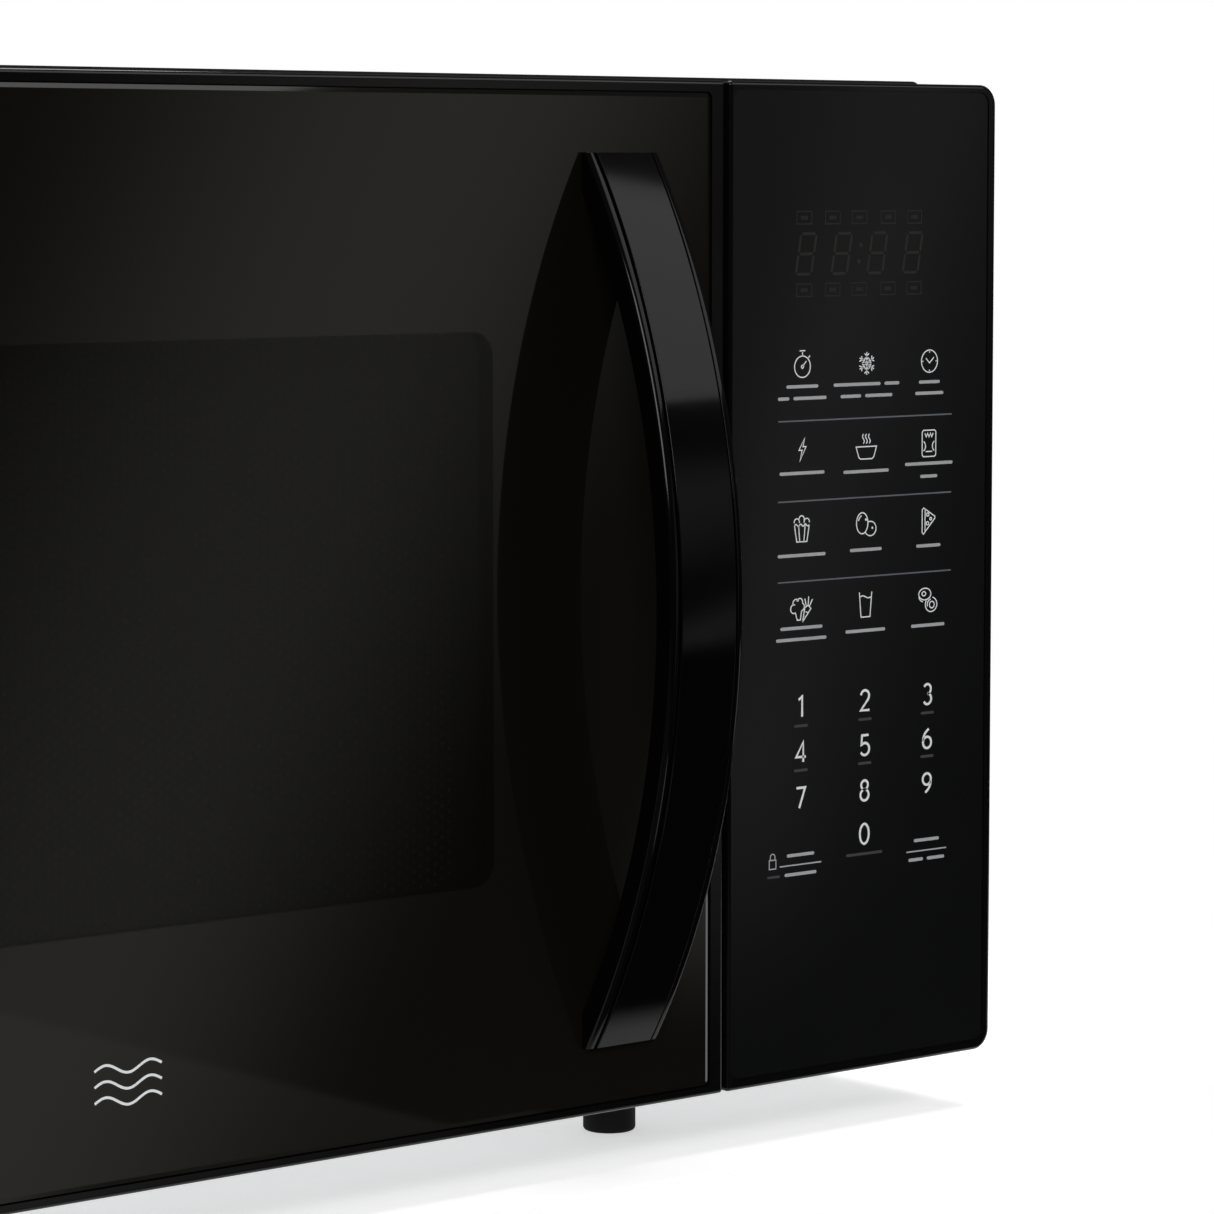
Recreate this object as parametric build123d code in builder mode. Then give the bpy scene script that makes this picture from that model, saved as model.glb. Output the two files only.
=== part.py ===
from build123d import *
import os
from math import cos, pi, radians, sin, sqrt

# Countertop microwave oven with a grill, as an assembly of separate pieces.
# Millimetres.  +X is to the right of the front, +Y to the back and +Z up.
# The origin is on the floor, under the middle of the oven's overall box.

os.makedirs("parts", exist_ok=True)

# ------------------------------------------------------------------ driving dimensions
WIDTH = 520.0
DEPTH = 445.0
FRONT_HEIGHT = 290.0
FRONT_BOTTOM = 17.0       # floor to the lower edge of the door
FRONT_DEPTH = 30.0        # thickness of the door and of the control housing
HANDLE_PROUD = 38.5       # how far the handle stands in front of the door
SPACER_LENGTH = 6.0       # rear spacers that keep the oven off the wall
CABINET_TOP = 308.5
CABINET_INSET = 2.0       # the cabinet is narrower than the front by this, each side
SHEET = 0.7               # cabinet and rear panel sheet
WALL = 1.0                # cavity and base sheet
GAP = 0.3                 # clearance between neighbouring pieces

# Levels and planes that follow from them
FRONT_TOP = FRONT_BOTTOM + FRONT_HEIGHT
FRONT_MID = FRONT_BOTTOM + FRONT_HEIGHT / 2
HALF = WIDTH / 2
SIDE_X = HALF - CABINET_INSET
FRONT_Y = -DEPTH / 2 + HANDLE_PROUD
PLATE_Y = FRONT_Y + FRONT_DEPTH
DOOR_BACK_Y = PLATE_Y - 0.6
BACK_Y = DEPTH / 2 - SPACER_LENGTH
BASE_Z = 19.0             # underside of the base plate, which is the feet's height

# Front: door on the left, control panel on the right
DOOR_RIGHT = 152.0
PANEL_LEFT = 153.6
CORNER = 6.0              # outer corners of the front
RIM = 1.2                 # rounding along the front's edges
GLASS_INSET = 0.3
GLASS_THICK = 3.2
GLASS_SIDE = 5.1          # bezel widths around the glass
GLASS_TOP = 3.2
GLASS_BOTTOM = 2.7
WINDOW_X = (-195.5, 67.5)
WINDOW_Z = (85.8, 238.0)
WINDOW_RADIUS = 8.0

# Oven chamber
CAVITY_X = (-230.0, 102.0)
CAVITY_Z = (46.0, 276.0)
CAVITY_BACK_Y = 201.0
CAVITY_RADIUS = 8.0
TABLE_X = (CAVITY_X[0] + CAVITY_X[1]) / 2
TABLE_Y = (PLATE_Y + CAVITY_BACK_Y) / 2
PLATE_RIGHT = 152.5       # right edge of the face plate, where the control housing starts

# Door hinge axis
HINGE_X = -252.0
HINGE_REACH = 12.0        # the axis lies this far inside the door's back face
HINGE_Y = DOOR_BACK_Y - HINGE_REACH
HINGE_PIN = 2.5
HINGE_BORE = 2.55
TONGUE_HALF = 4.0
TONGUE_THICK = 3.0
HINGE_LEVELS = (288.5, 35.5)   # mid height of the upper and the lower tongue
DOOR_OPEN = 110.0

# Door latch
LATCH_X = 128.0
LATCH_THICK = 3.0
LATCH_HOOKS = (246.0, 76.0)    # underside of each hook's finger
LATCH_FINGER = 8.0
LATCH_TRAVEL = 5.0
LATCH_NOSE = 3.0

# Handle
HANDLE_X = 112.2
HANDLE_WIDTH = 26.4
HANDLE_Z = (36.4, 286.7)
HANDLE_FOOT = 10.0
HANDLE_END = 2.4
HANDLE_INNER = 31.5
HANDLE_ROUND = 1.5
COVER_WIDTH = 20.0        # glossy strip let into the handle's front
COVER_THICK = 1.4
COVER_PROUD = 0.4
COVER_GROOVE = 0.7
SCREW_RADIUS = 2.0
SCREW_REACH = 4.2         # how far each handle screw runs into the handle

# Turntable
TRAY_RADIUS = 152.5
TRACK_RADIUS = 100.0
ROLLER_RADIUS = 8.5
ROLLER_WIDTH = 7.0
TRACK_RISE = 0.8
ROLLER_Z = CAVITY_Z[0] + TRACK_RISE + GAP + ROLLER_RADIUS
TRAY_UNDER = ROLLER_Z + ROLLER_RADIUS + GAP
SHAFT_RADIUS = 3.0
SHAFT_BORE = 3.05

# Component bay
BAY_X = CAVITY_X[1] + WALL
FAN_X = 182.0
FAN_Z = 190.0
FAN_RADIUS = 54.0
MAGNETRON_Y = 66.0
MAGNETRON_Z = 190.0
GUIDE_X = BAY_X + 38.0


# ------------------------------------------------------------------ helpers
def face_at(y):
    """Sketch plane at depth y, seen from the front: local x is +X, local y is +Z."""
    return Plane.XZ.offset(-y)


def side_at(x):
    """Sketch plane at x, seen from the right: local x is +Y, local y is +Z."""
    return Plane.YZ.offset(x)


def block(x, y, z, mode=Mode.ADD):
    """A box given by its (low, high) limits along each axis."""
    with Locations(((x[0] + x[1]) / 2, (y[0] + y[1]) / 2, (z[0] + z[1]) / 2)):
        Box(x[1] - x[0], y[1] - y[0], z[1] - z[0], mode=mode)


def rod(axis, radius, start, length, mode=Mode.ADD):
    """A cylinder that starts at a point and runs along a positive axis."""
    turn = {"X": (0, 90, 0), "Y": (-90, 0, 0), "Z": (0, 0, 0)}[axis]
    with Locations(start):
        Cylinder(radius, length, rotation=turn, align=(Align.CENTER, Align.CENTER, Align.MIN), mode=mode)


def window_outline(grow, radius):
    """Rounded outline of the door window, grown by a margin."""
    width = WINDOW_X[1] - WINDOW_X[0] + 2 * grow
    height = WINDOW_Z[1] - WINDOW_Z[0] + 2 * grow
    return RectangleRounded(width, height, radius)


def window_centre():
    """Middle of the door window, in the front's own x and z."""
    return ((WINDOW_X[0] + WINDOW_X[1]) / 2, (WINDOW_Z[0] + WINDOW_Z[1]) / 2)


def save(builder, name):
    """Label a finished piece and write its STEP file."""
    builder.part.label = name
    export_step(builder.part, f"parts/{name}.step")


# ------------------------------------------------------------------ base plate
BASE_FLANGE = 14.0
FOOT_PLACES = [(147.0, -139.0), (-215.0, -139.0), (215.0, 196.0), (-215.0, 196.0)]
BASE_X = SIDE_X - SHEET - 0.3
BASE_Y = (PLATE_Y + WALL + GAP, BACK_Y - SHEET - 1.2)

with BuildPart() as base_plate:
    block((-BASE_X, BASE_X), BASE_Y, (BASE_Z, BASE_Z + BASE_FLANGE))
    block((-BASE_X + WALL, BASE_X - WALL), (BASE_Y[0] + WALL, BASE_Y[1] - WALL),
          (BASE_Z + WALL, BASE_Z + BASE_FLANGE), Mode.SUBTRACT)
    with BuildSketch(Plane.XY.offset(BASE_Z)):
        with Locations((175, -40)):
            with GridLocations(9, 26, 12, 4):
                SlotOverall(20, 3.5, rotation=90)
        with Locations((TABLE_X, TABLE_Y)):
            with PolarLocations(44, 10):
                SlotOverall(20, 3.5)
    extrude(amount=WALL, mode=Mode.SUBTRACT)
    for place in FOOT_PLACES:
        rod("Z", SCREW_RADIUS, (place[0], place[1], BASE_Z), WALL, Mode.SUBTRACT)
save(base_plate, "base_plate")

# ------------------------------------------------------------------ feet and their screws
FOOT_RADIUS = 7.75

FOOT_RECESS = 7.0         # depth and radius of the screw's recess under each foot
FOOT_RECESS_RADIUS = 4.2
FOOT_SCREW_HEAD = 2.4

with BuildPart() as feet:
    for place in FOOT_PLACES:
        with BuildSketch(Plane.XY):
            with Locations(place):
                Circle(FOOT_RADIUS)
        extrude(amount=BASE_Z)
    fillet(feet.edges().group_by(Axis.Z)[0], 1.2)
    for place in FOOT_PLACES:
        rod("Z", FOOT_RECESS_RADIUS, (place[0], place[1], 0), FOOT_RECESS, Mode.SUBTRACT)
        rod("Z", SCREW_RADIUS, (place[0], place[1], 0), BASE_Z, Mode.SUBTRACT)
save(feet, "feet")

with BuildPart() as foot_screws:
    for place in FOOT_PLACES:
        rod("Z", FOOT_RECESS_RADIUS - 0.4, (place[0], place[1], FOOT_RECESS - FOOT_SCREW_HEAD), FOOT_SCREW_HEAD)
        rod("Z", SCREW_RADIUS - 0.02, (place[0], place[1], FOOT_RECESS - 1), BASE_Z)
save(foot_screws, "foot_screws")

# ------------------------------------------------------------------ cabinet wrap
CABINET_BEND = 4.0
LIP = 13.0
CABINET_BOTTOM = 18.0
SIDE_SCREW_Z = (60.0, 262.0)
TOP_SCREW_X = (-200.0, 0.0, 200.0)
CABINET_SCREW = 1.9


def arch(inset, radius):
    """Outline of the wrap seen from the front, moved in from the outside of the sheet."""
    top = CABINET_TOP - inset
    with BuildSketch(Plane.XY, mode=Mode.PRIVATE) as outline:
        with Locations((0, (top + CABINET_BOTTOM) / 2)):
            Rectangle(2 * (SIDE_X - inset), top - CABINET_BOTTOM)
        fillet(outline.vertices().group_by(Axis.Y)[-1], radius)
    return outline.sketch


with BuildPart() as cabinet:
    with BuildSketch(face_at(PLATE_Y)):
        add(arch(0, CABINET_BEND))
        add(arch(SHEET, CABINET_BEND - SHEET), mode=Mode.SUBTRACT)
    extrude(amount=-(BACK_Y - PLATE_Y))
    with BuildSketch(face_at(BACK_Y - SHEET)):
        add(arch(SHEET / 2, CABINET_BEND - SHEET / 2))
        add(arch(LIP, CABINET_BEND), mode=Mode.SUBTRACT)
    extrude(amount=-SHEET)
    with BuildSketch(side_at(-SIDE_X)):
        with Locations((120.0, 225.0), (-40.0, 70.0)):
            with GridLocations(9.0, 30.0, 12, 2):
                SlotOverall(22.0, 3.2, rotation=90)
    extrude(amount=SHEET, mode=Mode.SUBTRACT)
    with BuildSketch(side_at(SIDE_X - SHEET)):
        with Locations((40.0, 90.0)):
            with GridLocations(9.0, 30.0, 22, 3):
                SlotOverall(22.0, 3.2, rotation=90)
    extrude(amount=SHEET, mode=Mode.SUBTRACT)
    with BuildSketch(face_at(BACK_Y - SHEET)):
        for side in (-1, 1):
            with Locations(*[(side * (SIDE_X - LIP / 2), z) for z in SIDE_SCREW_Z]):
                Circle(CABINET_SCREW)
        with Locations(*[(x, CABINET_TOP - LIP / 2) for x in TOP_SCREW_X]):
            Circle(CABINET_SCREW)
    extrude(amount=-SHEET, mode=Mode.SUBTRACT)
save(cabinet, "cabinet")

# ------------------------------------------------------------------ rear panel
REAR_Y = BACK_Y - SHEET - 0.2
GLAND_PLACE = (212.0, 62.0)
GLAND_RADIUS = 8.0
SPACER_PLACES = [(-205.0, 232.0), (232.0, 262.0)]
SPACER_PEG = 2.5
REAR_Z = (BASE_Z + WALL + 0.2, CABINET_TOP - SHEET - 0.4)

with BuildPart() as rear_panel:
    with BuildSketch(face_at(REAR_Y - SHEET)):
        with Locations((0, (REAR_Z[0] + REAR_Z[1]) / 2)):
            RectangleRounded(2 * BASE_X, REAR_Z[1] - REAR_Z[0], CABINET_BEND)
    extrude(amount=-SHEET)
    with BuildSketch(face_at(REAR_Y - SHEET)):
        with Locations((FAN_X, FAN_Z)):
            for row in range(-5, 6):
                half_chord = sqrt(50.0 ** 2 - (row * 9.0) ** 2)
                with Locations((0, row * 9.0)):
                    SlotOverall(2 * half_chord - 4.0, 4.2)
                    Rectangle(5.0, 6.0, mode=Mode.SUBTRACT)
        with Locations((-120.0, 150.0)):
            with GridLocations(26.0, 9.0, 5, 12):
                SlotOverall(20.0, 3.4)
        with Locations(GLAND_PLACE):
            Circle(GLAND_RADIUS)
        with Locations(*SPACER_PLACES):
            Circle(SPACER_PEG)
        for side in (-1, 1):
            with Locations(*[(side * (SIDE_X - LIP / 2), z) for z in SIDE_SCREW_Z]):
                Circle(CABINET_SCREW)
        with Locations(*[(x, CABINET_TOP - LIP / 2) for x in TOP_SCREW_X]):
            Circle(CABINET_SCREW)
    extrude(amount=-SHEET, mode=Mode.SUBTRACT)
save(rear_panel, "rear_panel")

with BuildPart() as cabinet_screws:
    heads = [(side * (SIDE_X - LIP / 2), z) for side in (-1, 1) for z in SIDE_SCREW_Z]
    heads += [(x, CABINET_TOP - LIP / 2) for x in TOP_SCREW_X]
    for x, z in heads:
        rod("Y", 3.6, (x, BACK_Y, z), 2.2)
        rod("Y", CABINET_SCREW - 0.02, (x, BACK_Y - 8.0, z), 8.4)
        with Locations((x, BACK_Y + 2.2, z)):
            Box(4.0, 1.6, 0.8, mode=Mode.SUBTRACT)
            Box(0.8, 1.6, 4.0, mode=Mode.SUBTRACT)
save(cabinet_screws, "cabinet_screws")

with BuildPart() as rear_spacers:
    for x, z in SPACER_PLACES:
        rod("Y", 9.0, (x, REAR_Y, z), 3.0)
        rod("Y", 6.0, (x, REAR_Y, z), DEPTH / 2 - REAR_Y)
        rod("Y", SPACER_PEG - 0.05, (x, REAR_Y - 4.0, z), 4.0)
save(rear_spacers, "rear_spacers")

with BuildPart() as cord_gland:
    x, z = GLAND_PLACE
    rod("Y", 11.0, (x, REAR_Y, z), 2.5)
    rod("Y", GLAND_RADIUS - 0.1, (x, REAR_Y - 7.0, z), 7.0)
    rod("Y", 10.5, (x, REAR_Y - SHEET - 3.0, z), 2.8)
    rod("Y", 3.6, (x, REAR_Y - 8.0, z), 12.0, Mode.SUBTRACT)
save(cord_gland, "cord_gland")

# ------------------------------------------------------------------ oven cavity with its face plate
PLATE_X = (-SIDE_X + SHEET + 0.2, PLATE_RIGHT)
PLATE_Z = (BASE_Z + 0.2, CABINET_TOP - SHEET - 0.3)
SLOT_WIDTH = 12.0
GUIDE_WINDOW = (36.0, 64.0)          # feed window of the waveguide, height and width
GUIDE_WINDOW_PLACE = (MAGNETRON_Y, 128.0)
LAMP_PLACE = (-40.0, 232.0)
STEM_RADIUS = 7.0
CAVITY_W = CAVITY_X[1] - CAVITY_X[0]
CAVITY_H = CAVITY_Z[1] - CAVITY_Z[0]
GRILL_TERMINALS = [(TABLE_X - 40.0, 190.0), (TABLE_X + 40.0, 190.0)]
CUTOUT_PLACE = (150.0, 240.0)


def latch_slot_limits(hook):
    """Height limits of the slot that one latch hook passes through."""
    return hook - LATCH_NOSE - 1.5, hook + LATCH_FINGER + LATCH_TRAVEL + 1.5


with BuildPart() as oven_cavity:
    with BuildSketch(face_at(PLATE_Y)):
        with Locations((TABLE_X, (CAVITY_Z[0] + CAVITY_Z[1]) / 2)):
            RectangleRounded(CAVITY_W + 2 * WALL, CAVITY_H + 2 * WALL, CAVITY_RADIUS + WALL)
    extrude(amount=-(CAVITY_BACK_Y + WALL - PLATE_Y))
    with BuildSketch(face_at(PLATE_Y)):
        with Locations(((PLATE_X[0] + PLATE_X[1]) / 2, (PLATE_Z[0] + PLATE_Z[1]) / 2)):
            RectangleRounded(PLATE_X[1] - PLATE_X[0], PLATE_Z[1] - PLATE_Z[0], CABINET_BEND)
    extrude(amount=-WALL)
    with BuildSketch(face_at(PLATE_Y)):
        with Locations((TABLE_X, (CAVITY_Z[0] + CAVITY_Z[1]) / 2)):
            RectangleRounded(CAVITY_W, CAVITY_H, CAVITY_RADIUS)
    extrude(amount=-(CAVITY_BACK_Y - PLATE_Y), mode=Mode.SUBTRACT)
    with BuildSketch(Plane.XY.offset(CAVITY_Z[0])):
        with Locations((TABLE_X, TABLE_Y)):
            Circle(TRACK_RADIUS + 14.0)
            Circle(TRACK_RADIUS - 14.0, mode=Mode.SUBTRACT)
    extrude(amount=TRACK_RISE)
    rod("Z", STEM_RADIUS + 1.5, (TABLE_X, TABLE_Y, CAVITY_Z[0] - WALL - 1), 4.0, Mode.SUBTRACT)
    for hook in LATCH_HOOKS:
        block((LATCH_X - SLOT_WIDTH / 2, LATCH_X + SLOT_WIDTH / 2), (PLATE_Y - 1, PLATE_Y + WALL + 1),
              latch_slot_limits(hook), Mode.SUBTRACT)
    for level in HINGE_LEVELS:
        block((HINGE_X - TONGUE_HALF - 0.2, HINGE_X + TONGUE_HALF + 0.2), (PLATE_Y - 1, PLATE_Y + WALL + 1),
              (level - TONGUE_THICK / 2 - 0.2, level + TONGUE_THICK / 2 + 0.2), Mode.SUBTRACT)
    with BuildSketch(side_at(CAVITY_X[1])):
        with Locations(LAMP_PLACE):
            with GridLocations(5.0, 5.0, 6, 5):
                Circle(1.6)
        with Locations(GUIDE_WINDOW_PLACE):
            Rectangle(GUIDE_WINDOW[1], GUIDE_WINDOW[0])
        with Locations((-95.0, 232.0)):
            with GridLocations(5.0, 5.0, 6, 8):
                Circle(1.6)
    extrude(amount=WALL, mode=Mode.SUBTRACT)
    with BuildSketch(side_at(CAVITY_X[0] - WALL)):
        with Locations((130.0, 225.0)):
            with GridLocations(5.0, 5.0, 9, 8):
                Circle(1.6)
    extrude(amount=WALL, mode=Mode.SUBTRACT)
    for place in GRILL_TERMINALS:
        rod("Z", 5.0, (place[0], place[1], CAVITY_Z[1] - 1), WALL + 2, Mode.SUBTRACT)
save(oven_cavity, "oven_cavity")

# ------------------------------------------------------------------ waveguide and its mica cover
GUIDE_Y = (MAGNETRON_Y - 45.0, MAGNETRON_Y + 45.0)
GUIDE_Z = (104.0, 238.0)
ANTENNA_HOLE = 10.0

with BuildPart() as waveguide:
    block((BAY_X, GUIDE_X), GUIDE_Y, GUIDE_Z)
    block((BAY_X, BAY_X + WALL), (GUIDE_Y[0] - 10, GUIDE_Y[1] + 10), (GUIDE_Z[0] - 8, GUIDE_Z[1] + 8))
    block((BAY_X, GUIDE_X - WALL), (GUIDE_Y[0] + WALL, GUIDE_Y[1] - WALL),
          (GUIDE_Z[0] + WALL, GUIDE_Z[1] - WALL), Mode.SUBTRACT)
    rod("X", ANTENNA_HOLE, (GUIDE_X - WALL - 1, MAGNETRON_Y, MAGNETRON_Z), 4.0, Mode.SUBTRACT)
save(waveguide, "waveguide")

with BuildPart() as waveguide_cover:
    with BuildSketch(side_at(CAVITY_X[1] - 0.6)):
        with Locations(GUIDE_WINDOW_PLACE):
            RectangleRounded(GUIDE_WINDOW[1] + 16, GUIDE_WINDOW[0] + 16, 3.0)
            with GridLocations(GUIDE_WINDOW[1] + 8, 0, 2, 1):
                Circle(1.5, mode=Mode.SUBTRACT)
    extrude(amount=0.5)
save(waveguide_cover, "waveguide_cover")

# ------------------------------------------------------------------ magnetron
YOKE = (84.0, 92.0)          # height and width
YOKE_X = (GUIDE_X + 0.3, GUIDE_X + 50.0)
YOKE_SHEET = 2.0
ANODE_RADIUS = 19.0
FIN_RADIUS = ANODE_RADIUS + 0.1

with BuildPart() as magnetron_yoke:
    with BuildSketch(side_at(YOKE_X[0])):
        with Locations((MAGNETRON_Y, MAGNETRON_Z)):
            Rectangle(YOKE[1], YOKE[0])
    extrude(amount=YOKE_X[1] - YOKE_X[0])
    block((YOKE_X[0] + YOKE_SHEET, YOKE_X[1] - YOKE_SHEET), (MAGNETRON_Y - YOKE[1], MAGNETRON_Y + YOKE[1]),
          (MAGNETRON_Z - YOKE[0] / 2 + YOKE_SHEET, MAGNETRON_Z + YOKE[0] / 2 - YOKE_SHEET), Mode.SUBTRACT)
    rod("X", ANODE_RADIUS + 0.2, (YOKE_X[0] - 1, MAGNETRON_Y, MAGNETRON_Z), 60.0, Mode.SUBTRACT)
save(magnetron_yoke, "magnetron_yoke")

with BuildPart() as magnetron_anode:
    rod("X", ANODE_RADIUS, (YOKE_X[0], MAGNETRON_Y, MAGNETRON_Z), YOKE_X[1] - YOKE_X[0] + 6.0)
    rod("X", 9.0, (GUIDE_X - 12.0, MAGNETRON_Y, MAGNETRON_Z), 14.0)
    rod("X", 7.0, (GUIDE_X - 26.0, MAGNETRON_Y, MAGNETRON_Z), 16.0)
save(magnetron_anode, "magnetron_anode")

with BuildPart() as magnetron_fins:
    fin_pitch = 5.4
    for index in range(7):
        x = YOKE_X[0] + 8.0 + index * fin_pitch
        block((x, x + 0.8), (MAGNETRON_Y - 40, MAGNETRON_Y + 40), (MAGNETRON_Z - 34, MAGNETRON_Z + 34))
        rod("X", FIN_RADIUS, (x - 1, MAGNETRON_Y, MAGNETRON_Z), 3.0, Mode.SUBTRACT)
save(magnetron_fins, "magnetron_fins")

FILTER_LENGTH = 38.0      # along X
FILTER_HALF_Y = 38.0
FILTER_HALF_Z = 32.0
FILTER_WALL = 1.0
TERMINAL_LENGTH = 16.0    # terminal block on the front side of the box
TERMINAL_HALF = 12.0

with BuildPart() as magnetron_filter_box:
    filter_x = YOKE_X[1] + 6.3
    block((filter_x, filter_x + FILTER_LENGTH), (MAGNETRON_Y - FILTER_HALF_Y, MAGNETRON_Y + FILTER_HALF_Y),
          (MAGNETRON_Z - FILTER_HALF_Z, MAGNETRON_Z + FILTER_HALF_Z))
    fillet(magnetron_filter_box.edges().filter_by(Axis.X), 3.0)
    inner_y = FILTER_HALF_Y - FILTER_WALL
    inner_z = FILTER_HALF_Z - FILTER_WALL
    block((filter_x - 1, filter_x + FILTER_LENGTH - FILTER_WALL),
          (MAGNETRON_Y - inner_y, MAGNETRON_Y + inner_y),
          (MAGNETRON_Z - inner_z, MAGNETRON_Z + inner_z), Mode.SUBTRACT)
    terminal_y = MAGNETRON_Y - FILTER_HALF_Y
    terminal_x = filter_x + FILTER_LENGTH / 2 - 1
    block((terminal_x - TERMINAL_HALF, terminal_x + TERMINAL_HALF), (terminal_y - TERMINAL_LENGTH, terminal_y),
          (MAGNETRON_Z - TERMINAL_HALF, MAGNETRON_Z + TERMINAL_HALF))
save(magnetron_filter_box, "magnetron_filter_box")

# ------------------------------------------------------------------ high-voltage transformer
CORE_X = (118.0, 206.0)
CORE_Y = (58.0, 130.0)
CORE_Z = (BASE_Z + WALL + 0.2, 92.0)
CORE_LEG = 14.0

with BuildPart() as transformer_core:
    block(CORE_X, CORE_Y, CORE_Z)
    middle = (CORE_X[0] + CORE_X[1]) / 2
    for side in (-1, 1):
        inner = sorted((middle + side * CORE_LEG, middle + side * (CORE_LEG + 16.0)))
        block(inner, (CORE_Y[0] - 1, CORE_Y[1] + 1), (CORE_Z[0] + 14, CORE_Z[1] - 14), Mode.SUBTRACT)
    for side in (CORE_Y[0] - 8.0, CORE_Y[1]):
        block(CORE_X, (side, side + 8.0), (CORE_Z[0], CORE_Z[0] + 2.0))
save(transformer_core, "transformer_core")

with BuildPart() as transformer_windings:
    middle = (CORE_X[0] + CORE_X[1]) / 2
    for low, high in ((CORE_Z[0] + 14.4, CORE_Z[0] + 27.0), (CORE_Z[0] + 28.6, CORE_Z[1] - 14.4)):
        block((middle - 29.6, middle + 29.6), (CORE_Y[0] - 14, CORE_Y[1] + 14), (low, high))
        fillet(transformer_windings.edges().group_by(Axis.Z)[-1], 2.0)
    block((middle - CORE_LEG - 0.2, middle + CORE_LEG + 0.2), (CORE_Y[0] - 0.2, CORE_Y[1] + 0.2),
          CORE_Z, Mode.SUBTRACT)
save(transformer_windings, "transformer_windings")

# ------------------------------------------------------------------ capacitor, clamp and diode
CAN_X = (132.0, 224.0)
CAN_PLACE = (-14.0, 44.0)

with BuildPart() as capacitor:
    with BuildSketch(side_at(CAN_X[0])):
        with Locations(CAN_PLACE):
            SlotOverall(52.0, 34.0)
    extrude(amount=CAN_X[1] - CAN_X[0])
    for shift in (-12.0, 12.0):
        block((CAN_X[1], CAN_X[1] + 8.0), (CAN_PLACE[0] + shift - 3, CAN_PLACE[0] + shift + 3),
              (CAN_PLACE[1] - 0.4, CAN_PLACE[1] + 0.4))
save(capacitor, "capacitor")

with BuildPart() as capacitor_clamp:
    with BuildSketch(side_at(170.0)):
        with Locations(CAN_PLACE):
            SlotOverall(55.0, 37.0)
            SlotOverall(52.6, 34.6, mode=Mode.SUBTRACT)
    extrude(amount=14.0)
    clamp_base = BASE_Z + WALL + 0.2
    block((170, 184), (CAN_PLACE[0] - 4, CAN_PLACE[0] + 4), (clamp_base, CAN_PLACE[1] - 17.6))
save(capacitor_clamp, "capacitor_clamp")

with BuildPart() as hv_diode:
    rod("Y", 3.5, (224.0, 26.0, BASE_Z + 10.0), 14.0)
    rod("Y", 0.8, (224.0, 16.0, BASE_Z + 10.0), 34.0)
save(hv_diode, "hv_diode")

# ------------------------------------------------------------------ cooling fan
FAN_Y = 176.0
SHROUD_BACK = REAR_Y - SHEET - 0.3
FAN_SHAFT = 2.5

with BuildPart() as fan_shroud:
    block((FAN_X - 64, FAN_X + 64), (SHROUD_BACK - 2.0, SHROUD_BACK), (FAN_Z - 64, FAN_Z + 64))
    rod("Y", FAN_RADIUS + 4.5, (FAN_X, FAN_Y - 10, FAN_Z), SHROUD_BACK - FAN_Y + 10)
    rod("Y", FAN_RADIUS + 2.5, (FAN_X, FAN_Y - 12, FAN_Z), 80.0, Mode.SUBTRACT)
    for turn in (0, 90):
        with Locations((FAN_X, SHROUD_BACK - 2.0, FAN_Z)):
            Box(2 * FAN_RADIUS + 6, 4.0, 8.0, rotation=(0, turn, 0))
    rod("Y", 8.0, (FAN_X, SHROUD_BACK - 8.0, FAN_Z), 8.0, Mode.SUBTRACT)
save(fan_shroud, "fan_shroud")

with BuildPart() as fan_motor:
    block((FAN_X - 22, FAN_X + 22), (FAN_Y + 20, SHROUD_BACK - 4.3), (FAN_Z - 20, FAN_Z + 20))
    fillet(fan_motor.edges().filter_by(Axis.Y), 4.0)
    rod("Y", 7.0, (FAN_X, FAN_Y + 16, FAN_Z), SHROUD_BACK - FAN_Y - 16)
    rod("Y", FAN_SHAFT + 0.05, (FAN_X, FAN_Y + 14, FAN_Z), SHROUD_BACK - FAN_Y - 17, Mode.SUBTRACT)
save(fan_motor, "fan_motor")

with BuildPart() as fan_shaft:
    rod("Y", FAN_SHAFT, (FAN_X, FAN_Y - 6, FAN_Z), SHROUD_BACK - FAN_Y + 1)
save(fan_shaft, "fan_shaft")

with BuildPart() as fan_blade:
    rod("Y", 12.0, (FAN_X, FAN_Y - 4, FAN_Z), 16.0)
    for index in range(5):
        with Locations(Location((FAN_X, FAN_Y + 4, FAN_Z), (0, index * 72, 0))):
            with Locations((31.0, 0, 0)):
                Box(FAN_RADIUS - 10.0, 1.4, 30.0, rotation=(28, 0, 0))
    rod("Y", FAN_SHAFT + 0.02, (FAN_X, FAN_Y - 8, FAN_Z), 30.0, Mode.SUBTRACT)
save(fan_blade, "fan_blade")

with BuildPart() as air_duct:
    block((BAY_X + 0.3, BAY_X + 96), (-110, 10), (204, 262))
    block((BAY_X + 2.3, BAY_X + 94), (-108, 12), (206, 260), Mode.SUBTRACT)
    block((BAY_X - 1, BAY_X + 4), (-104, -18), (208, 256), Mode.SUBTRACT)
save(air_duct, "air_duct")

# ------------------------------------------------------------------ oven lamp
with BuildPart() as lamp_holder:
    rod("X", 13.0, (BAY_X + 42, LAMP_PLACE[0], LAMP_PLACE[1]), 24.0)
    rod("X", 8.2, (BAY_X + 40, LAMP_PLACE[0], LAMP_PLACE[1]), 20.0, Mode.SUBTRACT)
save(lamp_holder, "lamp_holder")

BULB_RADIUS = 12.0
BULB_NECK = 7.0
BULB_LENGTH = 28.0        # from the middle of the globe to the end of the neck
BULB_REACH = 26.0         # middle of the globe to the cavity's side wall

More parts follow.
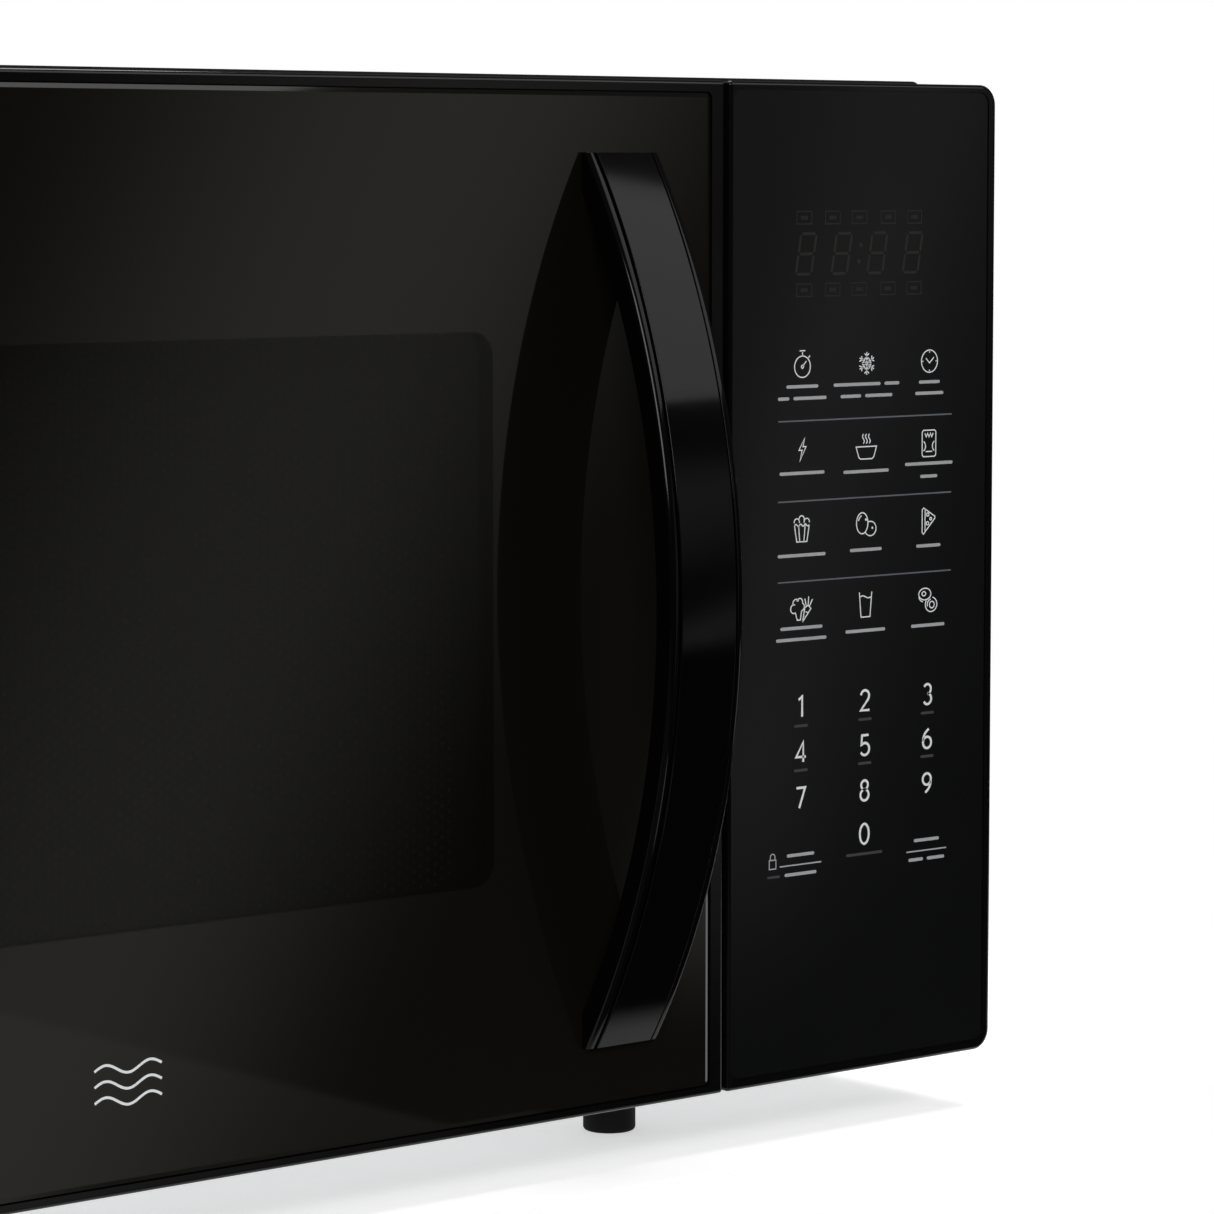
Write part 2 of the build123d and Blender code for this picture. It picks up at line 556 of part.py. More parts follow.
with BuildPart() as lamp_bulb:
    with BuildSketch(Plane.XY):
        with BuildLine():
            neck_start = sqrt(BULB_RADIUS ** 2 - BULB_NECK ** 2)
            ThreePointArc((-BULB_RADIUS, 0), (0, BULB_RADIUS), (neck_start, BULB_NECK))
            Polyline((neck_start, BULB_NECK), (BULB_LENGTH, BULB_NECK), (BULB_LENGTH, 0), (-BULB_RADIUS, 0))
        make_face()
    revolve(axis=Axis.X)
lamp_bulb.part = lamp_bulb.part.moved(Location((BAY_X + BULB_REACH, LAMP_PLACE[0], LAMP_PLACE[1])))
save(lamp_bulb, "lamp_bulb")

# ------------------------------------------------------------------ turntable drive
MOTOR_TOP = CAVITY_Z[0] - WALL - 0.3
MOTOR_BOTTOM = MOTOR_TOP - 15.0
SHAFT_TOP = MOTOR_TOP + 9.0

with BuildPart() as turntable_motor:
    rod("Z", 25.0, (TABLE_X, TABLE_Y, MOTOR_BOTTOM), MOTOR_TOP - MOTOR_BOTTOM)
    block((TABLE_X - 33, TABLE_X + 33), (TABLE_Y - 6, TABLE_Y + 6), (MOTOR_TOP - 1.2, MOTOR_TOP))
    block((TABLE_X - 12, TABLE_X + 12), (TABLE_Y - 34, TABLE_Y), (MOTOR_BOTTOM + 2, MOTOR_TOP - 3))
    rod("Z", SHAFT_BORE, (TABLE_X, TABLE_Y, MOTOR_BOTTOM + 3), 20.0, Mode.SUBTRACT)
save(turntable_motor, "turntable_motor")

with BuildPart() as turntable_shaft:
    rod("Z", SHAFT_RADIUS, (TABLE_X, TABLE_Y, MOTOR_BOTTOM + 3.5), SHAFT_TOP - MOTOR_BOTTOM - 3.5)
save(turntable_shaft, "turntable_shaft")

COUPLER_BASE = MOTOR_TOP + 0.5
COUPLER_TOP = TRAY_UNDER - 0.6
LOBE_HEIGHT = 6.0
LOBE_REACH = 21.0
LOBE_RADIUS = 4.0

with BuildPart() as coupler:
    rod("Z", STEM_RADIUS, (TABLE_X, TABLE_Y, COUPLER_BASE), COUPLER_TOP - LOBE_HEIGHT - COUPLER_BASE)
    with BuildSketch(Plane.XY.offset(COUPLER_TOP - LOBE_HEIGHT)):
        with Locations((TABLE_X, TABLE_Y)):
            Circle(11.0)
            with PolarLocations(LOBE_REACH / 2, 3):
                Rectangle(LOBE_REACH, 2 * LOBE_RADIUS)
            with PolarLocations(LOBE_REACH, 3):
                Circle(LOBE_RADIUS)
    extrude(amount=LOBE_HEIGHT)
    fillet(coupler.edges().group_by(Axis.Z)[-1], 1.0)
    rod("Z", SHAFT_RADIUS + 0.02, (TABLE_X, TABLE_Y, COUPLER_BASE - 1), SHAFT_TOP + 1.4 - COUPLER_BASE,
        Mode.SUBTRACT)
save(coupler, "coupler")

# ------------------------------------------------------------------ roller ring and rollers
AXLE_RADIUS = 1.8
RING_INNER = TRACK_RADIUS - 16.0
RING_THICK = 3.6

with BuildPart() as roller_ring:
    with BuildSketch(Plane.XY.offset(ROLLER_Z - RING_THICK / 2)):
        with Locations((TABLE_X, TABLE_Y)):
            Circle(RING_INNER + 8.0)
            Circle(RING_INNER, mode=Mode.SUBTRACT)
            Circle(STEM_RADIUS + 7.0)
            Circle(STEM_RADIUS + 0.6, mode=Mode.SUBTRACT)
            with PolarLocations(RING_INNER / 2 + 6.0, 3, start_angle=60):
                Rectangle(RING_INNER - 12.0, 7.0)
    extrude(amount=RING_THICK)
    fillet(roller_ring.edges().group_by(Axis.Z)[-1], 0.8)
    for index in range(3):
        with Locations(Location((TABLE_X, TABLE_Y, ROLLER_Z), (0, 0, index * 120))):
            with Locations((RING_INNER + 14.0, 0, 0)):
                Cylinder(AXLE_RADIUS, 16.0, rotation=(0, 90, 0))
save(roller_ring, "roller_ring")


def make_roller(index):
    """One roller of the ring, on its own radial axle."""
    angle = radians(index * 120)
    reach = TRACK_RADIUS + 2.0
    place = (TABLE_X + reach * cos(angle), TABLE_Y + reach * sin(angle), ROLLER_Z)
    with BuildPart() as roller:
        with BuildSketch(Plane(place, x_dir=(-sin(angle), cos(angle), 0), z_dir=(cos(angle), sin(angle), 0))):
            Circle(ROLLER_RADIUS)
            Circle(AXLE_RADIUS + 0.06, mode=Mode.SUBTRACT)
        extrude(amount=ROLLER_WIDTH / 2, both=True)
        fillet(roller.edges().filter_by(GeomType.CIRCLE).sort_by(SortBy.RADIUS)[-2:], 1.2)
    save(roller, f"roller_{index + 1}")


for number in range(3):
    make_roller(number)

# ------------------------------------------------------------------ glass tray
TRAY_THICK = 5.0
TRAY_RIM = 12.0
BOSS_RADIUS = 4.0

with BuildPart() as glass_tray:
    with BuildSketch(Plane.XZ):
        with BuildLine():
            Polyline((0, TRAY_UNDER), (TRAY_RADIUS - 22, TRAY_UNDER), (TRAY_RADIUS, TRAY_UNDER + TRAY_RIM - 2),
                     (TRAY_RADIUS, TRAY_UNDER + TRAY_RIM), (TRAY_RADIUS - 5, TRAY_UNDER + TRAY_RIM),
                     (TRAY_RADIUS - 24, TRAY_UNDER + TRAY_THICK), (0, TRAY_UNDER + TRAY_THICK),
                     (0, TRAY_UNDER))
        make_face()
    revolve(axis=Axis.Z)
    with BuildSketch(Plane.XY.offset(TRAY_UNDER)):
        with PolarLocations(15.0, 3, start_angle=60):
            Circle(BOSS_RADIUS)
    extrude(amount=-4.0)
glass_tray.part = glass_tray.part.moved(Location((TABLE_X, TABLE_Y, 0)))
save(glass_tray, "glass_tray")

# ------------------------------------------------------------------ grill element and supports
GRILL_Z = CAVITY_Z[1] - 12.0
GRILL_RADIUS = 3.3
GRILL_HALF_X = 105.0
GRILL_FRONT_Y = -60.0
GRILL_BACK_Y = 190.0
GRILL_TURN = 26.0

with BuildPart() as grill_element:
    left, right = GRILL_TERMINALS
    with BuildLine() as heater_path:
        FilletPolyline(
            (left[0], left[1], CAVITY_Z[1] + 16), (left[0], left[1], GRILL_Z),
            (left[0], 100.0, GRILL_Z), (TABLE_X - GRILL_HALF_X, 100.0, GRILL_Z),
            (TABLE_X - GRILL_HALF_X, GRILL_FRONT_Y, GRILL_Z),
            (TABLE_X + GRILL_HALF_X, GRILL_FRONT_Y, GRILL_Z),
            (TABLE_X + GRILL_HALF_X, 100.0, GRILL_Z), (right[0], 100.0, GRILL_Z),
            (right[0], right[1], GRILL_Z), (right[0], right[1], CAVITY_Z[1] + 16),
            radius=10.0)
    with BuildSketch(Plane((left[0], left[1], CAVITY_Z[1] + 16), z_dir=(0, 0, -1))):
        Circle(GRILL_RADIUS)
    sweep()
save(grill_element, "grill_element")

with BuildPart() as grill_supports:
    for x, y in ((TABLE_X - GRILL_HALF_X, 20.0), (TABLE_X + GRILL_HALF_X, 20.0), (TABLE_X, GRILL_FRONT_Y)):
        block((x - 7, x + 7), (y - 7, y + 7), (GRILL_Z - 6, CAVITY_Z[1] - 0.1))
        if x == TABLE_X:
            rod("X", GRILL_RADIUS + 0.2, (x - 10, y, GRILL_Z), 20.0, Mode.SUBTRACT)
        else:
            rod("Y", GRILL_RADIUS + 0.2, (x, y - 10, GRILL_Z), 20.0, Mode.SUBTRACT)
save(grill_supports, "grill_supports")

# ------------------------------------------------------------------ door interlock
BRACKET_Y = (PLATE_Y + WALL + 0.1, PLATE_Y + 42.0)
BRACKET_Z = (52.0, 276.0)
BRACKET_X = (LATCH_X - 17.0, LATCH_X + 14.0)

with BuildPart() as latch_bracket:
    block(BRACKET_X, BRACKET_Y, BRACKET_Z)
    block((BRACKET_X[0] + 3, BRACKET_X[1] - 3), (BRACKET_Y[0] + 3, BRACKET_Y[1] + 1),
          (BRACKET_Z[0] + 3, BRACKET_Z[1] - 3), Mode.SUBTRACT)
    for hook in LATCH_HOOKS:
        block((LATCH_X - SLOT_WIDTH / 2, LATCH_X + SLOT_WIDTH / 2), (BRACKET_Y[0] - 1, BRACKET_Y[0] + 4),
              latch_slot_limits(hook), Mode.SUBTRACT)
save(latch_bracket, "latch_bracket")

SWITCH_LEVELS = (LATCH_HOOKS[0] - 22.0, LATCH_HOOKS[1] + 32.0, LATCH_HOOKS[1] + 54.0)

with BuildPart() as door_switches:
    for level in SWITCH_LEVELS:
        y = BRACKET_Y[0] + 14.0
        block((LATCH_X - 5, LATCH_X + 5), (y, y + 16), (level - 14 + 5, level + 14 - 5))
        block((LATCH_X - 2, LATCH_X + 2), (y - 1.6, y), (level - 1.5, level + 1.5))
        for shift in (-6.0, 0.0, 6.0):
            block((LATCH_X - 0.4, LATCH_X + 0.4), (y + 16, y + 23), (level + shift - 2, level + shift + 2))
save(door_switches, "door_switches")

# ------------------------------------------------------------------ control panel
FACE_LEFT = 1.4
FACE_RIGHT = 3.2
FACE_TOP = 2.2
FACE_BOTTOM = 3.1
FACE_THICK = 2.0
FACE_INSET = 0.3
PANEL_WALL = 2.4
FACE_X = (PANEL_LEFT + FACE_LEFT, HALF - FACE_RIGHT)
FACE_Z = (FRONT_BOTTOM + FACE_BOTTOM, FRONT_TOP - FACE_TOP)
FACE_RADIUS = 3.5
DISPLAY_PLACE = (260.0 - 55.4, FRONT_BOTTOM + 240.7)
DISPLAY_SIZE = (66.0, 34.0)

with BuildPart() as control_housing:
    with BuildSketch(face_at(FRONT_Y)) as panel_outline:
        with Locations(((PANEL_LEFT + HALF) / 2, FRONT_MID)):
            Rectangle(HALF - PANEL_LEFT, FRONT_HEIGHT)
        fillet(panel_outline.vertices().group_by(Axis.X)[-1], CORNER)
        fillet(panel_outline.vertices().group_by(Axis.X)[0], 1.0)
    extrude(amount=-FRONT_DEPTH)
    fillet(control_housing.edges().group_by(Axis.Y)[0], RIM)
    with BuildSketch(face_at(FRONT_Y)):
        with Locations(((FACE_X[0] + FACE_X[1]) / 2, (FACE_Z[0] + FACE_Z[1]) / 2)):
            RectangleRounded(FACE_X[1] - FACE_X[0], FACE_Z[1] - FACE_Z[0], FACE_RADIUS)
    extrude(amount=-(FACE_THICK + FACE_INSET), mode=Mode.SUBTRACT)
    web_back = FRONT_Y + FACE_INSET + FACE_THICK + 2.2
    block((PANEL_LEFT + PANEL_WALL, HALF - PANEL_WALL), (web_back, PLATE_Y + 1),
          (FRONT_BOTTOM + PANEL_WALL, FRONT_TOP - PANEL_WALL), Mode.SUBTRACT)
    with BuildSketch(face_at(FRONT_Y)):
        with Locations(DISPLAY_PLACE):
            Rectangle(*DISPLAY_SIZE)
    extrude(amount=-10.0, mode=Mode.SUBTRACT)
save(control_housing, "control_housing")

with BuildPart() as control_face:
    with BuildSketch(face_at(FRONT_Y + FACE_INSET)):
        with Locations(((FACE_X[0] + FACE_X[1]) / 2, (FACE_Z[0] + FACE_Z[1]) / 2)):
            RectangleRounded(FACE_X[1] - FACE_X[0] - 0.2, FACE_Z[1] - FACE_Z[0] - 0.2, FACE_RADIUS - 0.1)
    extrude(amount=-(FACE_THICK - 0.1))
save(control_face, "control_face")

BOARD_Y = web_back + 9.0
BOARD_X = (PANEL_LEFT + 8.0, HALF - 8.0)
BOARD_Z = (70.0, 292.0)

with BuildPart() as control_board:
    block(BOARD_X, (BOARD_Y, BOARD_Y + 1.6), BOARD_Z)
    for x in (BOARD_X[0] + 4, BOARD_X[1] - 4):
        for z in (BOARD_Z[0] + 4, BOARD_Z[1] - 4):
            rod("Y", 1.7, (x, BOARD_Y - 1, z), 4.0, Mode.SUBTRACT)
save(control_board, "control_board")

with BuildPart() as display_module:
    with Locations((DISPLAY_PLACE[0], FRONT_Y + 6.4, DISPLAY_PLACE[1])):
        Box(DISPLAY_SIZE[0] - 4, 7.0, DISPLAY_SIZE[1] - 4)
save(display_module, "display_module")

with BuildPart() as control_relays:
    for index in range(3):
        x = BOARD_X[0] + 20 + index * 26
        block((x - 8, x + 8), (BOARD_Y + 1.8, PLATE_Y + 3.0), (86, 106))
save(control_relays, "control_relays")

# ------------------------------------------------------------------ mains filter board, fuse, cut-outs
FILTER_Z = 282.0

with BuildPart() as filter_board:
    block((130, 212), (-122, -62), (FILTER_Z, FILTER_Z + 1.6))
    block((138, 160), (-112, -92), (FILTER_Z + 1.6, FILTER_Z + 18))
    rod("Z", 10.0, (186, -98, FILTER_Z + 1.6), 14.0)
    for x, y in ((134, -118), (208, -118), (134, -66), (208, -66)):
        rod("Z", 1.7, (x, y, FILTER_Z - 1), 4.0, Mode.SUBTRACT)
save(filter_board, "filter_board")

with BuildPart() as fuse:
    rod("X", 3.0, (156, -74, FILTER_Z + 5.0), 30.0)
    for x in (156, 180):
        rod("X", 3.4, (x, -74, FILTER_Z + 5.0), 6.0)
save(fuse, "fuse")

with BuildPart() as thermal_cutouts:
    y, z = CUTOUT_PLACE
    rod("X", 8.0, (BAY_X + 0.2, y, z), 9.0)
    rod("Z", 8.0, (TABLE_X, 150.0, CAVITY_Z[1] + WALL + 0.2), 9.0)
save(thermal_cutouts, "thermal_cutouts")


# ------------------------------------------------------------------ door hinges
def make_hinge(name, level, direction):
    """Bracket behind the face plate, its tongue, and the pin that enters the door."""
    flange_near = level + direction * TONGUE_THICK / 2
    flange_far = level - direction * 26.0
    with BuildPart() as hinge:
        block((HINGE_X - TONGUE_HALF, HINGE_X + TONGUE_HALF), (HINGE_Y, PLATE_Y + WALL + 2.5),
              (level - TONGUE_THICK / 2, level + TONGUE_THICK / 2))
        rod("Z", TONGUE_HALF, (HINGE_X, HINGE_Y, level - TONGUE_THICK / 2), TONGUE_THICK)
        block((HINGE_X - TONGUE_HALF, -234.0), (PLATE_Y + WALL + 0.1, PLATE_Y + WALL + 2.5),
              sorted((flange_near, flange_far)))
        ends = sorted((level + direction * 6.5, level - direction * 15.0))
        rod("Z", HINGE_PIN, (HINGE_X, HINGE_Y, ends[0]), ends[1] - ends[0])
    save(hinge, name)


make_hinge("hinge_upper", HINGE_LEVELS[0], 1)
make_hinge("hinge_lower", HINGE_LEVELS[1], -1)

# ------------------------------------------------------------------ door frame
DOOR_WALL = 12.0
HINGE_WALL = 18.0
WEB_FRONT = FRONT_Y + GLASS_INSET + GLASS_THICK + 0.2
WEB_BACK = WEB_FRONT + 2.5
HOLLOW_X = (-HALF + HINGE_WALL, DOOR_RIGHT - DOOR_WALL)
HOLLOW_Z = (FRONT_BOTTOM + DOOR_WALL, FRONT_TOP - DOOR_WALL)
GLASS_X = (-HALF + GLASS_SIDE, DOOR_RIGHT - GLASS_SIDE)
GLASS_Z = (FRONT_BOTTOM + GLASS_BOTTOM, FRONT_TOP - GLASS_TOP)
GLASS_RADIUS = 2.0
SWING_GAP = 0.8
POCKET_HEIGHT = TONGUE_THICK + 2.0
SCREW_LEVELS = (HANDLE_Z[0] + 7.5, HANDLE_Z[1] - 7.5)


def tongue_pocket():
    """Plan of the room a hinge tongue needs in the door while the door swings open."""
    half = TONGUE_HALF + SWING_GAP
    turn = radians(DOOR_OPEN)
    edge = (half * cos(turn) * -1, -half * sin(turn))
    left = -HALF - HINGE_X - 4.0
    reach = (left - edge[0]) / -sin(turn)
    with BuildSketch(Plane.XY, mode=Mode.PRIVATE) as pocket:
        with BuildLine():
            Polyline((half, 0), (half, HINGE_REACH + 2), (left, HINGE_REACH + 2),
                     (left, edge[1] + reach * cos(turn)), edge, (half, 0))
        make_face()
        Circle(half)
    return pocket.sketch


with BuildPart() as door_frame:
    with BuildSketch(face_at(FRONT_Y)) as door_outline:
        with Locations(((DOOR_RIGHT - HALF) / 2, FRONT_MID)):
            Rectangle(DOOR_RIGHT + HALF, FRONT_HEIGHT)
        fillet(door_outline.vertices().group_by(Axis.X)[0], CORNER)
        fillet(door_outline.vertices().group_by(Axis.X)[-1], 1.0)
    extrude(amount=-(DOOR_BACK_Y - FRONT_Y))
    fillet(door_frame.edges().group_by(Axis.Y)[0], RIM)
    corner_y = HINGE_Y + sqrt(HINGE_REACH ** 2 - (HALF + HINGE_X) ** 2)
    with BuildSketch(Plane.XY.offset(FRONT_BOTTOM)):
        with BuildLine():
            Polyline((HINGE_X, DOOR_BACK_Y), (DOOR_RIGHT, DOOR_BACK_Y), (DOOR_RIGHT, FRONT_Y),
                     (-HALF, FRONT_Y), (-HALF, corner_y))
            RadiusArc((-HALF, corner_y), (HINGE_X, DOOR_BACK_Y), HINGE_REACH)
        make_face()
    extrude(amount=FRONT_HEIGHT, mode=Mode.INTERSECT)
    with BuildSketch(face_at(FRONT_Y)):
        with Locations(((GLASS_X[0] + GLASS_X[1]) / 2, (GLASS_Z[0] + GLASS_Z[1]) / 2)):
            RectangleRounded(GLASS_X[1] - GLASS_X[0], GLASS_Z[1] - GLASS_Z[0], GLASS_RADIUS)
    extrude(amount=-(WEB_FRONT - FRONT_Y), mode=Mode.SUBTRACT)
    block(HOLLOW_X, (WEB_BACK, PLATE_Y), HOLLOW_Z, Mode.SUBTRACT)
    with BuildSketch(face_at(FRONT_Y)):
        with Locations(window_centre()):
            window_outline(16.0, 6.0)
        with Locations(*[(HANDLE_X, level) for level in SCREW_LEVELS]):
            Circle(SCREW_RADIUS + 0.4)
    extrude(amount=-(WEB_BACK - FRONT_Y + 1), mode=Mode.SUBTRACT)
    for level in HINGE_LEVELS:
        bottom = level - POCKET_HEIGHT / 2
        extrude(Location((HINGE_X, HINGE_Y, bottom)) * tongue_pocket(), amount=POCKET_HEIGHT,
                mode=Mode.SUBTRACT)
    rod("Z", HINGE_BORE, (HINGE_X, HINGE_Y, HINGE_LEVELS[0] - 16.0), 24.0, Mode.SUBTRACT)
    rod("Z", HINGE_BORE, (HINGE_X, HINGE_Y, HINGE_LEVELS[1] - 8.0), 24.0, Mode.SUBTRACT)
save(door_frame, "door_frame")

# ------------------------------------------------------------------ door glass
with BuildPart() as door_glass:
    with BuildSketch(face_at(FRONT_Y + GLASS_INSET)):
        with Locations(((GLASS_X[0] + GLASS_X[1]) / 2, (GLASS_Z[0] + GLASS_Z[1]) / 2)):
            RectangleRounded(GLASS_X[1] - GLASS_X[0] - 0.2, GLASS_Z[1] - GLASS_Z[0] - 0.2, GLASS_RADIUS)
    extrude(amount=-GLASS_THICK)
    for level in SCREW_LEVELS:
        rod("Y", SCREW_RADIUS + 0.4, (HANDLE_X, FRONT_Y - 1, level), 6.0, Mode.SUBTRACT)
save(door_glass, "door_glass")

# ------------------------------------------------------------------ steel door panel, screen, film and choke cover
CHOKE_X = (HOLLOW_X[0] + 1.0, 118.0)
CHOKE_Z = (HOLLOW_Z[0] + 1.0, HOLLOW_Z[1] - 1.0)
STEEL_Y = FRONT_Y + 21.0
CHOKE_FOLD = 8.0

with BuildPart() as door_panel:
    block(CHOKE_X, (STEEL_Y - CHOKE_FOLD, STEEL_Y + 0.8), CHOKE_Z)
    block((CHOKE_X[0] + 0.8, CHOKE_X[1] - 0.8), (STEEL_Y - CHOKE_FOLD - 1, STEEL_Y),
          (CHOKE_Z[0] + 0.8, CHOKE_Z[1] - 0.8), Mode.SUBTRACT)
    with BuildSketch(face_at(STEEL_Y)):
        with Locations(window_centre()):
            window_outline(4.0, 10.0)
    extrude(amount=-2.0, mode=Mode.SUBTRACT)
save(door_panel, "door_panel")

with BuildPart() as door_screen:
    with BuildSketch(face_at(STEEL_Y - 0.7)):
        with Locations(window_centre()):
            window_outline(10.0, 12.0)
    extrude(amount=-0.6)
save(door_screen, "door_screen")

COVER_Y = (STEEL_Y + 1.0, DOOR_BACK_Y)
COVER_X = (HOLLOW_X[0] + 0.3, HOLLOW_X[1] - 0.3)
COVER_Z = (HOLLOW_Z[0] + 0.3, HOLLOW_Z[1] - 0.3)

with BuildPart() as choke_cover:
    block(COVER_X, COVER_Y, COVER_Z)
    with BuildSketch(face_at(COVER_Y[0])):
        with Locations(window_centre()):
            window_outline(20.0, 14.0)
    extrude(amount=-20.0, mode=Mode.SUBTRACT)
    block((COVER_X[0] + 2.2, 118.5), (COVER_Y[0] - 1, DOOR_BACK_Y - 2.4),
          (COVER_Z[0] + 2.2, COVER_Z[1] - 2.2), Mode.SUBTRACT)
    block((120.7, COVER_X[1] - 2.2), (COVER_Y[0] - 1, DOOR_BACK_Y - 2.4),
          (COVER_Z[0] + 2.2, COVER_Z[1] - 2.2), Mode.SUBTRACT)
    for hook in LATCH_HOOKS:
        block((LATCH_X - SLOT_WIDTH / 2, LATCH_X + SLOT_WIDTH / 2), (COVER_Y[0] - 1, DOOR_BACK_Y + 1),
              latch_slot_limits(hook), Mode.SUBTRACT)
    with BuildSketch(face_at(COVER_Y[0])):
        with Locations(window_centre()):
            window_outline(22.2, 16.2)
            offset(window_outline(22.2, 16.2), amount=-2.2, mode=Mode.SUBTRACT)
    extrude(amount=-(COVER_Y[1] - COVER_Y[0]))
save(choke_cover, "choke_cover")

with BuildPart() as screen_film:
    with BuildSketch(face_at(STEEL_Y + 1.0)):
        with Locations(window_centre()):
            window_outline(16.0, 12.0)
    extrude(amount=-0.4)
save(screen_film, "screen_film")

# ------------------------------------------------------------------ handle, its front cover and its screws
def arc_radius(half_chord, rise):
    """Radius of the arc that rises this much over a chord."""
    return (half_chord ** 2 + rise ** 2) / (2 * rise)


HANDLE_MID = (HANDLE_Z[0] + HANDLE_Z[1]) / 2
HANDLE_HALF = (HANDLE_Z[1] - HANDLE_Z[0]) / 2
HANDLE_SEAT = FRONT_Y + GLASS_INSET
BOW_RADIUS = arc_radius(HANDLE_HALF, HANDLE_PROUD - HANDLE_END)
BOW_CENTRE = FRONT_Y - HANDLE_PROUD + BOW_RADIUS
GRIP_RADIUS = arc_radius(HANDLE_HALF - HANDLE_FOOT, HANDLE_INNER + GLASS_INSET)
GRIP_CENTRE = FRONT_Y - HANDLE_INNER + GRIP_RADIUS


def bow_strip(outer, inner, height):
    """Side view of a strip that follows the bow between two radii."""
    with BuildSketch(Plane.XY, mode=Mode.PRIVATE) as strip:
        with Locations((BOW_CENTRE, HANDLE_MID)):
            Circle(outer)
            Circle(inner, mode=Mode.SUBTRACT)
        with Locations((FRONT_Y - HANDLE_PROUD / 2, HANDLE_MID)):
            Rectangle(HANDLE_PROUD, height, mode=Mode.INTERSECT)
    return strip.sketch


with BuildPart() as handle:
    with BuildSketch(side_at(HANDLE_X)):
        with Locations((BOW_CENTRE, HANDLE_MID)):
            Circle(BOW_RADIUS - COVER_PROUD)
        with Locations(((FRONT_Y - HANDLE_PROUD + HANDLE_SEAT) / 2, HANDLE_MID)):
            Rectangle(HANDLE_PROUD + GLASS_INSET, 2 * HANDLE_HALF, mode=Mode.INTERSECT)
        with Locations((GRIP_CENTRE, HANDLE_MID)):
            Circle(GRIP_RADIUS, mode=Mode.SUBTRACT)
    extrude(amount=HANDLE_WIDTH / 2, both=True)
    fillet(handle.edges().filter_by(GeomType.CIRCLE).sort_by(Axis.Y)[0:2], HANDLE_ROUND)
    with BuildSketch(side_at(HANDLE_X)):
        add(bow_strip(BOW_RADIUS + 1, BOW_RADIUS - COVER_THICK, 2 * HANDLE_HALF + 2))
    extrude(amount=COVER_WIDTH / 2 + COVER_GROOVE, both=True, mode=Mode.SUBTRACT)
    for level in SCREW_LEVELS:
        rod("Y", SCREW_RADIUS + 0.05, (HANDLE_X, FRONT_Y - SCREW_REACH - 0.3, level),
            SCREW_REACH + 2.0, Mode.SUBTRACT)
save(handle, "handle")

with BuildPart() as handle_cover:
    with BuildSketch(side_at(HANDLE_X)):
        add(bow_strip(BOW_RADIUS, BOW_RADIUS - COVER_THICK + 0.05, 2 * HANDLE_HALF))
    extrude(amount=COVER_WIDTH / 2, both=True)
    fillet(handle_cover.edges().filter_by(GeomType.CIRCLE).sort_by(Axis.Y)[0:2], 0.4)
save(handle_cover, "handle_cover")

with BuildPart() as handle_screws:
    for level in SCREW_LEVELS:
        rod("Y", SCREW_RADIUS, (HANDLE_X, FRONT_Y - SCREW_REACH, level),
            WEB_BACK - FRONT_Y + SCREW_REACH + 0.1)
        rod("Y", 3.8, (HANDLE_X, WEB_BACK + 0.1, level), 2.4)
save(handle_screws, "handle_screws")

# ------------------------------------------------------------------ latch plate and spring
BAR_Y = (WEB_BACK + 6.0, STEEL_Y + 0.5)
BAR_Z = (LATCH_HOOKS[1] - 18.0, LATCH_HOOKS[0] + 14.0)
HOOK_REACH = PLATE_Y + 17.0

with BuildPart() as latch_plate:
    with BuildSketch(side_at(LATCH_X)):
        with Locations(((BAR_Y[0] + BAR_Y[1]) / 2, (BAR_Z[0] + BAR_Z[1]) / 2)):
            Rectangle(BAR_Y[1] - BAR_Y[0], BAR_Z[1] - BAR_Z[0])
            with GridLocations(0, 60.0, 1, 2):
                SlotOverall(18.0, 4.0, rotation=90, mode=Mode.SUBTRACT)
        for hook in LATCH_HOOKS:
            with BuildLine():
                Polyline((BAR_Y[1] - 1, hook), (HOOK_REACH - 8, hook), (HOOK_REACH - 6, hook - LATCH_NOSE),
                         (HOOK_REACH - 3, hook - LATCH_NOSE), (HOOK_REACH, hook + LATCH_FINGER - 3),
                         (HOOK_REACH - 2, hook + LATCH_FINGER), (BAR_Y[1] - 1, hook + LATCH_FINGER),
                         (BAR_Y[1] - 1, hook))
            make_face()
    extrude(amount=LATCH_THICK / 2, both=True)
save(latch_plate, "latch_plate")

SPRING_RADIUS = 3.2
SPRING_WIRE = 0.5
SPRING_Z = (HOLLOW_Z[0] + 2.0, BAR_Z[0] - 0.8)
SPRING_TURNS = 8

with BuildPart() as latch_spring:
    spring_y = (BAR_Y[0] + BAR_Y[1]) / 2
    spring_length = SPRING_Z[1] - SPRING_Z[0]
    with BuildLine(Plane((LATCH_X, spring_y, SPRING_Z[0]))) as coil:
        Helix(spring_length / SPRING_TURNS, spring_length, SPRING_RADIUS)
    with BuildSketch(Plane(coil.line @ 0, z_dir=coil.line % 0)):
        Circle(SPRING_WIRE)
    sweep(is_frenet=True)
save(latch_spring, "latch_spring")
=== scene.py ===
from math import cos, pi, radians, sin

